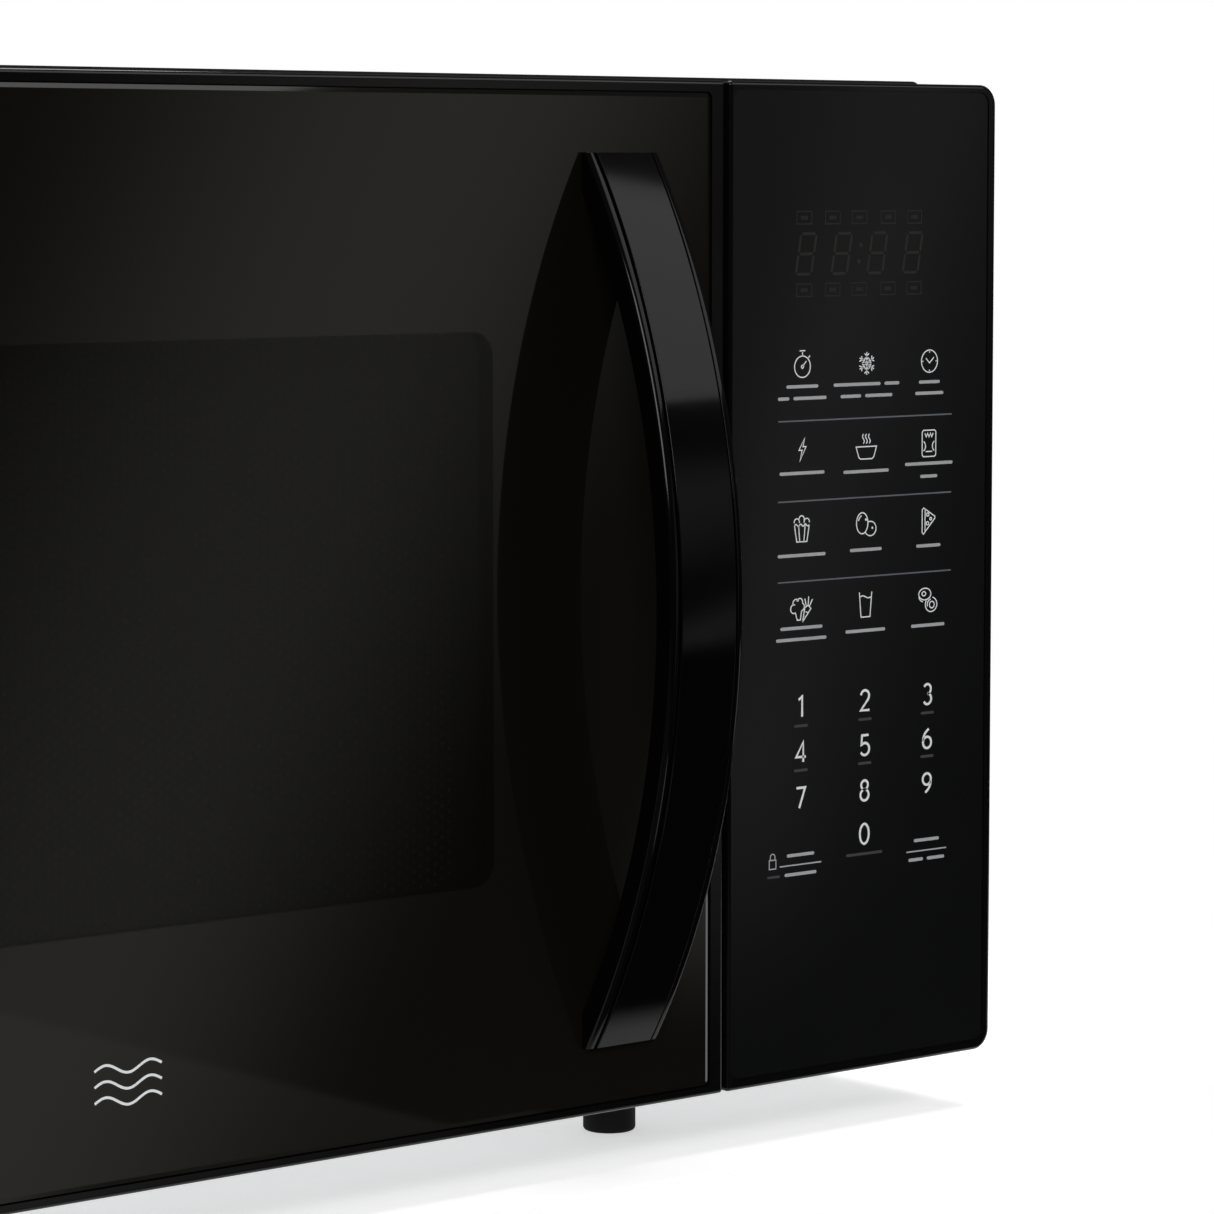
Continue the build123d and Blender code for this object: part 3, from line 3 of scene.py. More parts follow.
import bmesh
import bpy
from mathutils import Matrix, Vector


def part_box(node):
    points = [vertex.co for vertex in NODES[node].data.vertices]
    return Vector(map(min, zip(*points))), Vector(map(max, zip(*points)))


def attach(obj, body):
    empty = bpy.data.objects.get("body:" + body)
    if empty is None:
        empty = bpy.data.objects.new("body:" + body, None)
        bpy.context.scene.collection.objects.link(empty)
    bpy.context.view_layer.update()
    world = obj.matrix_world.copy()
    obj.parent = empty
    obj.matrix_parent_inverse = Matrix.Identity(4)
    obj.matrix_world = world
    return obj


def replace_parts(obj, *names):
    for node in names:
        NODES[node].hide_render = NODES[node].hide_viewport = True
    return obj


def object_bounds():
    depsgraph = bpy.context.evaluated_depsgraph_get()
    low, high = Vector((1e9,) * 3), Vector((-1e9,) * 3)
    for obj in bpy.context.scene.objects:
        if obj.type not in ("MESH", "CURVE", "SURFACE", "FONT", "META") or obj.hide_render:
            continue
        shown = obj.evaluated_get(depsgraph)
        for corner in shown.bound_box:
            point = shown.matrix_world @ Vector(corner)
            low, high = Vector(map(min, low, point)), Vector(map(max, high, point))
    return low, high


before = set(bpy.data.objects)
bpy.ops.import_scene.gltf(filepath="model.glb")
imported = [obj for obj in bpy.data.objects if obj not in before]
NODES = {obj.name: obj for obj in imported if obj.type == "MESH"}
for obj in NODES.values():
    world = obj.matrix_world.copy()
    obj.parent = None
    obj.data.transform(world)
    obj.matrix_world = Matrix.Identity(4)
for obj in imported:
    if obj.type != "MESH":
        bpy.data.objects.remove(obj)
CAD_BOX = [list(corner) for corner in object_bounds()]
MM = 0.001

# ------------------------------------------------------------------ node material helpers
MIX_FACTOR, MIX_FIRST, MIX_SECOND, MIX_RESULT = 0, 6, 7, 2     # colour sockets of the Mix node
BROAD_SHARE = 0.7           # how much the patches and the grain count in a surface's colour
FINE_SHARE = 0.3
GRAIN_DETAIL = 2.0
GLOSS_SCALE = 3.1           # patches of gloss are this much smaller than patches of colour


def new_material(name):
    """An empty material with its tree and its shader."""
    material = bpy.data.materials.new(name)
    material.use_nodes = True
    tree = material.node_tree
    return material, tree, tree.nodes["Principled BSDF"]


def put(tree, target, socket, value):
    """Give a socket a value or a link."""
    if isinstance(value, bpy.types.NodeSocket):
        tree.links.new(value, target.inputs[socket])
    else:
        target.inputs[socket].default_value = value


def add(tree, kind, sockets, **settings):
    """A node with its settings and its inputs."""
    made = tree.nodes.new("ShaderNode" + kind)
    for key, value in settings.items():
        setattr(made, key, value)
    for socket, value in sockets.items():
        put(tree, made, socket, value)
    return made


def place(tree, stretch=(1, 1, 1)):
    """The object's own coordinates in metres, stretched along each axis."""
    coordinates = tree.nodes.new("ShaderNodeTexCoord").outputs["Object"]
    return add(tree, "Mapping", {"Vector": coordinates, "Scale": stretch}).outputs["Vector"]


def noise(tree, vector, scale, detail=3.0, rough=0.55):
    """A noise value from 0 to 1."""
    sockets = {"Vector": vector, "Scale": scale, "Detail": detail, "Roughness": rough}
    return add(tree, "TexNoise", sockets).outputs["Fac"]


def spread(tree, value, low, high, start=0.3, stop=0.7, kind="LINEAR"):
    """low before start, high after stop, and a ramp between."""
    sockets = {"Value": value, "From Min": start, "From Max": stop, "To Min": low, "To Max": high}
    return add(tree, "MapRange", sockets, interpolation_type=kind).outputs["Result"]


def calc(tree, operation, first, second=0.0):
    """One arithmetic step."""
    return add(tree, "Math", {0: first, 1: second}, operation=operation).outputs[0]


def length(tree, first, second):
    """Length of a flat vector."""
    flat = add(tree, "CombineXYZ", {0: first, 1: second}).outputs[0]
    return add(tree, "VectorMath", {0: flat}, operation="LENGTH").outputs["Value"]


def mix(tree, factor, first, second):
    """A colour between two colours."""
    sockets = {MIX_FACTOR: factor, MIX_FIRST: first, MIX_SECOND: second}
    return add(tree, "Mix", sockets, data_type="RGBA").outputs[MIX_RESULT]


def rgb(colour):
    """A colour with full alpha."""
    return (*colour, 1.0)


def relief(tree, shader, height, strength, distance):
    """Bump from a height value."""
    sockets = {"Height": height, "Strength": strength, "Distance": distance}
    put(tree, shader, "Normal", add(tree, "Bump", sockets).outputs["Normal"])


def finish(name, light, dark, gloss, metal=0.0, patch=14.0, grain=900.0, bump=0.15, deep=0.00004,
           stretch=(1, 1, 1), index=1.5, tone=None, height=None, extra=None):
    """A surface with an uneven colour, an uneven gloss and a fine grain.

    tone mixes the colours in place of patches and grain, height makes the relief in place of the
    grain, and extra holds more of the shader's own sockets.
    """
    material, tree, shader = new_material(name)
    vector = place(tree, stretch)
    fine = noise(tree, vector, grain, GRAIN_DETAIL)
    if tone:
        shade = tone(tree, vector)
    else:
        broad = calc(tree, "MULTIPLY", noise(tree, vector, patch), BROAD_SHARE)
        both = calc(tree, "ADD", broad, calc(tree, "MULTIPLY", fine, FINE_SHARE))
        shade = spread(tree, both, 0, 1)
    put(tree, shader, "Base Color", mix(tree, shade, rgb(dark), rgb(light)))
    put(tree, shader, "Roughness", spread(tree, noise(tree, vector, patch * GLOSS_SCALE), *gloss))
    for socket, value in {"Metallic": metal, "IOR": index, **(extra or {})}.items():
        put(tree, shader, socket, value)
    relief(tree, shader, height(tree, vector) if height else fine, bump, deep)
    return material


# ------------------------------------------------------------------ door glass material
GLASS_LOW, GLASS_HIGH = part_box("door_glass")
SCREEN_LOW, SCREEN_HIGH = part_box("door_screen")
WINDOW_MARGIN = 10.0 * MM
WINDOW_LOW = SCREEN_LOW + Vector((WINDOW_MARGIN, 0, WINDOW_MARGIN))
WINDOW_HIGH = SCREEN_HIGH - Vector((WINDOW_MARGIN, 0, WINDOW_MARGIN))
WINDOW_CORNER = 7.0 * MM
WINDOW_BLUR = 0.25 * MM
WINDOW_ALPHA = 0.56


def rounded_window(tree, low, high, corner, blur):
    """1 inside a rounded rectangle in X and Z, 0 outside."""
    parts = add(tree, "SeparateXYZ", {0: place(tree)}).outputs
    reach = []
    for axis in (0, 2):
        middle = (low[axis] + high[axis]) / 2
        half = (high[axis] - low[axis]) / 2 - corner
        away = calc(tree, "ABSOLUTE", calc(tree, "SUBTRACT", parts[axis], middle))
        reach.append(calc(tree, "MAXIMUM", calc(tree, "SUBTRACT", away, half), 0.0))
    return spread(tree, length(tree, *reach), 1.0, 0.0, corner - blur, corner + blur)


def tinted_glass():
    """Smoked door glass with a black print round a see-through window."""
    material, tree, shader = new_material("tinted_glass")
    window = rounded_window(tree, WINDOW_LOW, WINDOW_HIGH, WINDOW_CORNER, WINDOW_BLUR)
    vector = place(tree)
    haze = spread(tree, noise(tree, vector, 3.0, 2.0), 0, 1)
    printed = mix(tree, haze, rgb((0.0034, 0.0030, 0.0024)), rgb((0.0048, 0.0043, 0.0036)))
    smoke = mix(tree, haze, rgb((0.0026, 0.0023, 0.0019)), rgb((0.0038, 0.0034, 0.0029)))
    put(tree, shader, "Base Color", mix(tree, window, printed, smoke))
    put(tree, shader, "Roughness", spread(tree, noise(tree, vector, 9.0), 0.028, 0.045))
    put(tree, shader, "IOR", 1.42)
    put(tree, shader, "Alpha", spread(tree, window, 1.0, WINDOW_ALPHA, 0.0, 1.0))
    relief(tree, shader, noise(tree, vector, 5.0, 1.0), 0.02, 0.0004)
    return material


# ------------------------------------------------------------------ finishes of the parts
def crystals(scale):
    """Flat patches, each in a tone of its own: zinc spangle or flakes of mica."""
    def tone(tree, vector):
        cells = add(tree, "TexVoronoi", {"Vector": vector, "Scale": scale}).outputs["Color"]
        return add(tree, "SeparateXYZ", {0: cells}).outputs[0]
    return tone


def ribs(direction, scale, distortion, detail):
    """Even ridges: wires or plates side by side."""
    def height(tree, vector):
        sockets = {"Vector": vector, "Scale": scale, "Distortion": distortion, "Detail": detail}
        return add(tree, "TexWave", sockets, bands_direction=direction).outputs["Fac"]
    return height


def tracks(tree, vector):
    """1 on the lines of a net, 0 between them."""
    sockets = {"Vector": vector, "Scale": 160.0}
    cells = add(tree, "TexVoronoi", sockets, feature="DISTANCE_TO_EDGE").outputs["Distance"]
    return spread(tree, cells, 1.0, 0.0, 0.03, 0.07)


BRUSHED = (1, 14, 1)
SURFACES = {
    "gloss_black": dict(
        light=(0.0022, 0.0022, 0.0025), dark=(0.0016, 0.0016, 0.0019), gloss=(0.07, 0.11),
        patch=6.0, grain=1300.0, bump=0.03, deep=0.00003, index=1.30),
    "handle_black": dict(
        light=(0.0012, 0.0012, 0.0014), dark=(0.0008, 0.0008, 0.0010), gloss=(0.06, 0.10),
        patch=6.0, grain=1300.0, bump=0.03, deep=0.00003, index=1.23),
    "touch_face": dict(
        light=(0.0040, 0.0042, 0.0046), dark=(0.0030, 0.0032, 0.0036), gloss=(0.10, 0.12),
        patch=5.0, grain=2400.0, bump=0.04, deep=0.00002, index=1.32),
    "cabinet_paint": dict(
        light=(0.0090, 0.0090, 0.0095), dark=(0.0070, 0.0070, 0.0075), gloss=(0.44, 0.47),
        patch=5.0, grain=1500.0, bump=0.35, deep=0.00012, index=1.36),
    "galvanised": dict(
        light=(0.60, 0.61, 0.62), dark=(0.40, 0.41, 0.42), gloss=(0.30, 0.46), metal=0.95,
        patch=30.0, grain=700.0, bump=0.08, tone=crystals(150.0)),
    "cavity_enamel": dict(
        light=(0.345, 0.345, 0.335), dark=(0.315, 0.315, 0.305), gloss=(0.30, 0.34),
        patch=6.0, grain=1800.0, bump=0.12, deep=0.00008),
    "screen_steel": dict(
        light=(0.012, 0.011, 0.010), dark=(0.008, 0.0075, 0.007), gloss=(0.35, 0.5),
        patch=12.0, grain=2200.0, bump=0.1),
    "satin_steel": dict(
        light=(0.62, 0.62, 0.61), dark=(0.48, 0.48, 0.47), gloss=(0.22, 0.36), metal=1.0,
        patch=40.0, grain=500.0, bump=0.12, stretch=BRUSHED),
    "heater_sheath": dict(
        light=(0.16, 0.12, 0.09), dark=(0.06, 0.055, 0.06), gloss=(0.35, 0.55), metal=0.8,
        patch=26.0, grain=900.0, bump=0.2),
    "copper": dict(
        light=(0.50, 0.17, 0.06), dark=(0.33, 0.09, 0.03), gloss=(0.22, 0.36), metal=0.85,
        patch=60.0, grain=600.0, bump=0.7, deep=0.0004, height=ribs("Z", 260.0, 0.4, 1.0),
        extra={"Coat Weight": 0.4}),
    "laminated_iron": dict(
        light=(0.13, 0.11, 0.09), dark=(0.06, 0.05, 0.045), gloss=(0.35, 0.55), metal=0.7,
        patch=40.0, grain=500.0, bump=0.5, deep=0.0003, height=ribs("Y", 320.0, 0.2, 2.0)),
    "aluminium_fin": dict(
        light=(0.76, 0.77, 0.78), dark=(0.62, 0.63, 0.64), gloss=(0.24, 0.38), metal=1.0,
        patch=45.0, grain=600.0, bump=0.1, stretch=BRUSHED),
    "clear_glass": dict(
        light=(0.93, 0.97, 0.95), dark=(0.86, 0.93, 0.90), gloss=(0.03, 0.07),
        patch=8.0, grain=120.0, bump=0.05, deep=0.0002, index=1.47,
        extra={"Transmission Weight": 1.0}),
    "clear_film": dict(
        light=(0.40, 0.39, 0.37), dark=(0.34, 0.33, 0.31), gloss=(0.10, 0.2),
        patch=10.0, grain=200.0, bump=0.05, extra={"Alpha": 0.44}),
    "dark_plastic": dict(
        light=(0.022, 0.022, 0.023), dark=(0.014, 0.014, 0.015), gloss=(0.42, 0.55),
        patch=12.0, grain=2000.0, bump=0.3, deep=0.00006),
    "pale_plastic": dict(
        light=(0.74, 0.72, 0.66), dark=(0.62, 0.60, 0.54), gloss=(0.38, 0.5),
        patch=14.0, grain=1600.0, bump=0.15),
    "circuit_board": dict(
        light=(0.05, 0.26, 0.11), dark=(0.012, 0.10, 0.04), gloss=(0.25, 0.4),
        patch=30.0, bump=0.2, deep=0.00005, tone=tracks, height=tracks),
    "mica": dict(
        light=(0.66, 0.57, 0.43), dark=(0.40, 0.32, 0.22), gloss=(0.25, 0.5),
        patch=50.0, tone=crystals(420.0)),
    "rubber_black": dict(
        light=(0.0050, 0.0050, 0.0055), dark=(0.0030, 0.0030, 0.0035), gloss=(0.6, 0.75),
        patch=20.0, grain=2600.0, bump=0.4, deep=0.00008, index=1.25),
    "ceramic_white": dict(
        light=(0.84, 0.83, 0.80), dark=(0.74, 0.73, 0.70), gloss=(0.2, 0.32),
        patch=18.0, grain=900.0, bump=0.08),
    # inks of the print, from the brightest to the unlit display
    "print_bright": dict(
        light=(0.90, 0.92, 0.94), dark=(0.78, 0.80, 0.82), gloss=(0.4, 0.5), patch=60.0),
    "print_soft": dict(
        light=(0.46, 0.47, 0.49), dark=(0.37, 0.38, 0.40), gloss=(0.4, 0.5), patch=60.0),
    "print_line": dict(
        light=(0.13, 0.14, 0.16), dark=(0.10, 0.11, 0.13), gloss=(0.4, 0.5), patch=60.0),
    "print_dim": dict(
        light=(0.045, 0.046, 0.050), dark=(0.035, 0.036, 0.040), gloss=(0.4, 0.5), patch=60.0),
    "segment_off": dict(
        light=(0.0135, 0.0120, 0.0100), dark=(0.0105, 0.0095, 0.0080), gloss=(0.3, 0.4),
        patch=60.0),
    "symbol_off": dict(
        light=(0.0090, 0.0090, 0.0095), dark=(0.0072, 0.0072, 0.0078), gloss=(0.3, 0.4),
        patch=60.0),
}
FINISHES = {name: finish(name, **settings) for name, settings in SURFACES.items()}
FINISHES["tinted_glass"] = tinted_glass()
for cad_node in NODES.values():
    for material_slot in cad_node.material_slots:
        material_slot.material = FINISHES[material_slot.material.name.split(".")[0]]


# ------------------------------------------------------------------ mesh helpers
LEAST_BISECTOR = 0.2        # shorter than this, two strokes fold back and have no bisector
LEAST_COSINE = 0.3          # limits of how far a mitred corner stands out
MITRE_LIMIT = 1.8
BAR_STEPS = 6


def mesh_object(name, bm, finish_name, body):
    """A finished piece from a bmesh, on its body."""
    bmesh.ops.recalc_face_normals(bm, faces=bm.faces)
    mesh = bpy.data.meshes.new(name)
    bm.to_mesh(mesh)
    bm.free()
    piece = bpy.data.objects.new(name, mesh)
    bpy.context.scene.collection.objects.link(piece)
    mesh.materials.append(FINISHES[finish_name])
    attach(piece, body)
    return piece


def walls(bm, front, back):
    """A closed band of faces between two outlines of equal length."""
    for k in range(len(front)):
        m = (k + 1) % len(front)
        bm.faces.new((front[k], front[m], back[m], back[k]))


def arc(centre, radius, start, stop, steps=14, squash=1.0):
    """Points along an arc; angles in degrees, counter-clockwise from the right."""
    turns = [radians(start + (stop - start) * i / steps) for i in range(steps + 1)]
    return [(centre[0] + radius * cos(a), centre[1] + radius * squash * sin(a)) for a in turns]


def ring(centre, radius, steps=28, squash=1.0):
    """Points round a closed circle or ellipse."""
    return arc(centre, radius, 0, 360 - 360 / steps, steps - 1, squash)


class Print:
    """Thin raised print on a plane that faces the front, drawn in millimetres."""

    def __init__(self, origin, proud=0.05, buried=0.03):
        self.bm = bmesh.new()
        self.origin = origin
        self.front = -proud * MM
        self.back = buried * MM

    def corner(self, point, depth):
        """A vertex at a point of the drawing, in front of the plane or behind it."""
        return self.bm.verts.new(self.origin + Vector((point[0] * MM, depth, point[1] * MM)))

    def plate(self, outline):
        """A flat shape with a front, a back and an edge."""
        front = [self.corner(p, self.front) for p in outline]
        back = [self.corner(p, self.back) for p in outline]
        self.bm.faces.new(front)
        self.bm.faces.new(back[::-1])
        walls(self.bm, back, front)

    def bar(self, centre, width, height):
        """A flat dash with rounded ends."""
        r = height / 2
        reach = width / 2 - r
        right = arc((centre[0] + reach, centre[1]), r, -90, 90, BAR_STEPS)
        self.plate(right + arc((centre[0] - reach, centre[1]), r, 90, 270, BAR_STEPS))

    def stroke(self, points, width, closed=False, at=(0, 0)):
        """A line of even width through the points, with mitred corners."""
        points = [Vector((p[0] + at[0], p[1] + at[1])) for p in points]
        count = len(points)
        sections = []
        for i, p in enumerate(points):
            before = points[i - 1] if i or closed else None
            after = points[(i + 1) % count] if i < count - 1 or closed else None
            arriving = (p - before).normalized() if before is not None else None
            leaving = (after - p).normalized() if after is not None else None
            if arriving is None:
                arriving = leaving
            if leaving is None:
                leaving = arriving
            along = arriving + leaving
            along = along.normalized() if along.length > LEAST_BISECTOR else arriving
            side = Vector((-along.y, along.x))
            cosine = side.dot(Vector((-arriving.y, arriving.x)))
            mitre = min(1 / max(cosine, LEAST_COSINE), MITRE_LIMIT)
            offset = side * (width / 2 * mitre)
            left, right = p + offset, p - offset
            sections.append([self.corner(left, self.front), self.corner(right, self.front),
                             self.corner(right, self.back), self.corner(left, self.back)])
        for i in range(count if closed else count - 1):
            a, b = sections[i], sections[(i + 1) % count]
            for k in range(4):
                m = (k + 1) % 4
                self.bm.faces.new((a[k], a[m], b[m], b[k]))
        if not closed:
            self.bm.faces.new(sections[0][::-1])
            self.bm.faces.new(sections[-1])

    def draw(self, strokes, width, at=(0, 0)):
        """Several strokes, each given as its points and whether it is closed."""
        for points, closed in strokes:
            self.stroke(points, width, closed, at)

    def piece(self, name, finish_name, body="oven", slot="touch_face"):
        """The print as a finished piece."""
        return mesh_object(name, self.bm, finish_name, body)


# ------------------------------------------------------------------ perforated screen of the door
HOLE_PITCH = 2.9 * MM
HOLE_RADIUS = 0.82 * MM
HOLE_SIDES = 6
SCREEN_LAP = 2.0 * MM       # how far the holes run on past the window
RIM_ROWS = 3                # extra rows and columns for the rim


def perforated_screen():
    """A closed sheet with six-sided holes on a staggered grid; the grid's outer ring is its rim."""
    bm = bmesh.new()
    step_x = HOLE_PITCH * cos(pi / 6)
    columns = int((WINDOW_HIGH.x - WINDOW_LOW.x + SCREEN_LAP) / step_x) + RIM_ROWS
    rows = int((WINDOW_HIGH.z - WINDOW_LOW.z + SCREEN_LAP) / HOLE_PITCH) + RIM_ROWS
    start_x = (SCREEN_LOW.x + SCREEN_HIGH.x - (columns - 1) * step_x) / 2
    start_z = (SCREEN_LOW.z + SCREEN_HIGH.z - (rows - 0.5) * HOLE_PITCH) / 2
    sheets = []
    for depth in (SCREEN_LOW.y, SCREEN_HIGH.y):
        grid = {}
        for i in range(columns):
            for j in range(rows):
                x = start_x + i * step_x
                z = start_z + (j + (i % 2) / 2) * HOLE_PITCH
                if i in (0, columns - 1) or j in (0, rows - 1):
                    x = {0: SCREEN_LOW.x, columns - 1: SCREEN_HIGH.x}.get(i, x)
                    z = {0: SCREEN_LOW.z, rows - 1: SCREEN_HIGH.z}.get(j, z)
                    grid[i, j] = [bm.verts.new((x, depth, z))] * HOLE_SIDES
                else:
                    grid[i, j] = [bm.verts.new((x + HOLE_RADIUS * cos(pi * k / 3), depth,
                                                z + HOLE_RADIUS * sin(pi * k / 3)))
                                  for k in range(HOLE_SIDES)]
        sheets.append(grid)

    def face(corners, flip):
        """A face over its corners, with each corner taken once."""
        kept = list(dict.fromkeys(corners))
        if len(kept) > 2:
            bm.faces.new(kept[::-1] if flip else kept)

    for flip, grid in enumerate(sheets):
        for (i, j), here in grid.items():
            above = grid.get((i, j + 1))
            upper = grid.get((i + 1, j + i % 2))
            lower = grid.get((i + 1, j + i % 2 - 1))
            if above:
                face((here[1], above[5], above[4], here[2]), flip)
            if upper:
                face((here[0], upper[4], upper[3], here[1]), flip)
            if lower:
                face((here[5], lower[3], lower[2], here[0]), flip)
            if above and upper:
                face((here[1], upper[3], above[5]), flip)
            if upper and lower:
                face((here[0], lower[2], upper[4]), flip)
    for key, front in sheets[0].items():
        if front[0] != front[1]:
            walls(bm, front, sheets[1][key])
    rim = [(i, 0) for i in range(columns - 1)]
    rim += [(columns - 1, j) for j in range(rows - 1)]
    rim += [(i, rows - 1) for i in range(columns - 1, 0, -1)]
    rim += [(0, j) for j in range(rows - 1, 0, -1)]
    front_rim, back_rim = ([sheet[key][0] for key in rim] for sheet in sheets)
    walls(bm, back_rim, front_rim)
    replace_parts(mesh_object("door_screen_perforated", bm, "screen_steel", "door"),
                "door_screen")


perforated_screen()

# ------------------------------------------------------------------ door glass with its ground edge
GLASS_CORNER = 2.0 * MM
BEVEL = ((1.5 * MM, 0.0), (0.3 * MM, 0.19 * MM), (0.0, 0.49 * MM))     # inset from outline, depth
CORNER_STEPS = 8


def glass_outline(inset):
    """Points round the pane's rounded outline, in X and Z."""
    left, right = GLASS_LOW.x + GLASS_CORNER, GLASS_HIGH.x - GLASS_CORNER
    low, high = GLASS_LOW.z + GLASS_CORNER, GLASS_HIGH.z - GLASS_CORNER
    points = []
    for quarter, centre in enumerate(((right, high), (left, high), (left, low), (right, low))):
        start = 90 * quarter
        points += arc(centre, GLASS_CORNER - inset, start, start + 90, CORNER_STEPS)
    return points


def bevelled_glass():
    """The pane as one closed solid, with its edge ground in two facets."""
    bm = bmesh.new()
    sections = [(inset, GLASS_LOW.y + depth) for inset, depth in BEVEL] + [(0.0, GLASS_HIGH.y)]
    rings = [[bm.verts.new((x, y, z)) for x, z in glass_outline(inset)] for inset, y in sections]
    for front, back in zip(rings, rings[1:]):
        walls(bm, front, back)
    bm.faces.new(rings[0])
    bm.faces.new(rings[-1][::-1])
    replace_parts(mesh_object("door_glass_bevelled", bm, "tinted_glass", "door"),
                "door_glass")


bevelled_glass()

# ------------------------------------------------------------------ handle
HANDLE_LOW, HANDLE_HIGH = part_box("handle")
COVER_LOW, COVER_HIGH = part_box("handle_cover")
HANDLE_MID_X = (HANDLE_LOW.x + HANDLE_HIGH.x) / 2
HANDLE_MID_Z = (HANDLE_LOW.z + HANDLE_HIGH.z) / 2
HANDLE_HALF = (HANDLE_HIGH.z - HANDLE_LOW.z) / 2
HANDLE_END = 2.4 * MM       # how far the bow's ends stand off the glass
HANDLE_SINK = 0.3 * MM      # how far its feet reach behind the glass's front
HANDLE_FOOT = 10.0 * MM
GRIP_THICK = 6.6 * MM
HANDLE_ROUND = 1.5 * MM
ROUND_STEPS = 6
COVER_PROUD = 0.4 * MM
COVER_DEEP = 1.4 * MM
COVER_CLEAR = 0.05 * MM
GROOVE = 0.7 * MM
HANDLE_STEPS = 120
KNEE_CLEAR = 0.5 * MM       # no even step lies closer than this to the end of the grip
GRIP_EDGE = 0.15 * MM
COVER_EDGE = 0.3 * MM
SHARP_ANGLE = radians(32)
BEVEL_ANGLE = radians(40)


def arc_radius(half_chord, rise):
    """Radius of the arc over a chord."""
    return (half_chord ** 2 + rise ** 2) / (2 * rise)


DOOR_FRONT = HANDLE_HIGH.y - HANDLE_SINK
BOW_RADIUS = arc_radius(HANDLE_HALF, DOOR_FRONT - COVER_LOW.y - HANDLE_END)
BOW_CENTRE = COVER_LOW.y + BOW_RADIUS
GRIP_HALF = HANDLE_HALF - HANDLE_FOOT
GRIP_FRONT = COVER_LOW.y + COVER_PROUD + GRIP_THICK
GRIP_RADIUS = arc_radius(GRIP_HALF, HANDLE_HIGH.y - GRIP_FRONT)
GRIP_CENTRE = GRIP_FRONT + GRIP_RADIUS


def bow(radius, offset):
    """Y of the bow's arc at a height away from its middle."""
    return BOW_CENTRE - (radius ** 2 - offset ** 2) ** 0.5


def grip(offset):
    """Y of the hollow behind the handle, or of the glass at its feet."""
    if abs(offset) >= GRIP_HALF:
        return HANDLE_HIGH.y
    return GRIP_CENTRE - (GRIP_RADIUS ** 2 - offset ** 2) ** 0.5


def handle_section(offset):
    """Outline of the handle at one height, from its back left corner to its back right one."""
    front = bow(BOW_RADIUS - COVER_PROUD, offset)
    half = (HANDLE_HIGH.x - HANDLE_LOW.x) / 2
    slot = (COVER_HIGH.x - COVER_LOW.x) / 2 + GROOVE
    deep = bow(BOW_RADIUS - COVER_DEEP, offset)
    corner = [(half - HANDLE_ROUND * (1 - sin(a)), front + HANDLE_ROUND * (1 - cos(a)))
              for a in (pi / 2 * k / ROUND_STEPS for k in range(ROUND_STEPS + 1))]
    right = [(slot, deep), (slot, front)] + corner + [(half, grip(offset))]
    return [(-x, y) for x, y in right[::-1]] + right


def cover_section(offset):
    """Outline of the cover strip at one height."""
    front = bow(BOW_RADIUS, offset)
    back = bow(BOW_RADIUS - COVER_DEEP + COVER_CLEAR, offset)
    half = (COVER_HIGH.x - COVER_LOW.x) / 2
    return [(-half, back), (-half, front), (half, front), (half, back)]


def lofted(name, section, offsets, edge):
    """A closed skin over the sections, with its edges softened."""
    bm = bmesh.new()
    rings = [[bm.verts.new((HANDLE_MID_X + x, y, HANDLE_MID_Z + offset))
              for x, y in section(offset)] for offset in offsets]
    for low, high in zip(rings, rings[1:]):
        walls(bm, low, high)
    bm.faces.new(rings[0][::-1])
    bm.faces.new(rings[-1])
    piece = mesh_object(name, bm, "handle_black", "door")
    piece.data.shade_smooth()
    piece.data.set_sharp_from_angle(angle=SHARP_ANGLE)
    bevel = piece.modifiers.new("edges", "BEVEL")
    bevel.width = edge
    bevel.segments = 2
    bevel.limit_method = "ANGLE"
    bevel.angle_limit = BEVEL_ANGLE
    bevel.harden_normals = True
    return piece


evenly = [HANDLE_HALF * (2 * i / HANDLE_STEPS - 1) for i in range(HANDLE_STEPS + 1)]
knees = [-GRIP_HALF, GRIP_HALF]
grip_offsets = sorted([z for z in evenly if min(abs(z - k) for k in knees) > KNEE_CLEAR] + knees)
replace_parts(lofted("handle_grip", handle_section, grip_offsets, GRIP_EDGE), "handle")
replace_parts(lofted("handle_strip", cover_section, evenly, COVER_EDGE), "handle_cover")

# ------------------------------------------------------------------ print on the control panel
FACE_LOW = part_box("control_face")[0]
COLUMNS = (27.0, 52.5, 78.0)
THIN = 0.34
MEDIUM = 0.74


def on_face():
    """Print whose zero is the lower left corner of the panel's face."""
    return Print(FACE_LOW)


def line(*points):
    """An open stroke."""
    return points, False


def loop(*points):
    """A closed stroke."""
    return points, True


def zigzag(start, stop, low, high, count):
    """Points of a line that goes up and down."""
    step = (stop - start) / count
    return [(start + step * i, high if i % 2 else low) for i in range(count + 1)]


def wave(start, stop, level, height, waves, steps=18):
    """Points of a sine wave."""
    span = stop - start
    return [(start + span * i / steps, level + height * sin(2 * pi * waves * i / steps))
            for i in range(steps + 1)]


def upright(points):
    """Swap across and up."""
    return [(z, x) for x, z in points]


def snowflake():
    """Six arms with two pairs of barbs each."""
    strokes = []
    for k in range(6):
        a = radians(30 + 60 * k)
        along, across = Vector((cos(a), sin(a))), Vector((-sin(a), cos(a)))
        strokes.append(line((0, 0), along * 3.3))
        for reach, width in ((2.9, 0.9), (1.7, 0.7)):
            strokes.append(line(along * reach + across * width, along * (reach - 0.8),
                                along * reach - across * width))
    return strokes


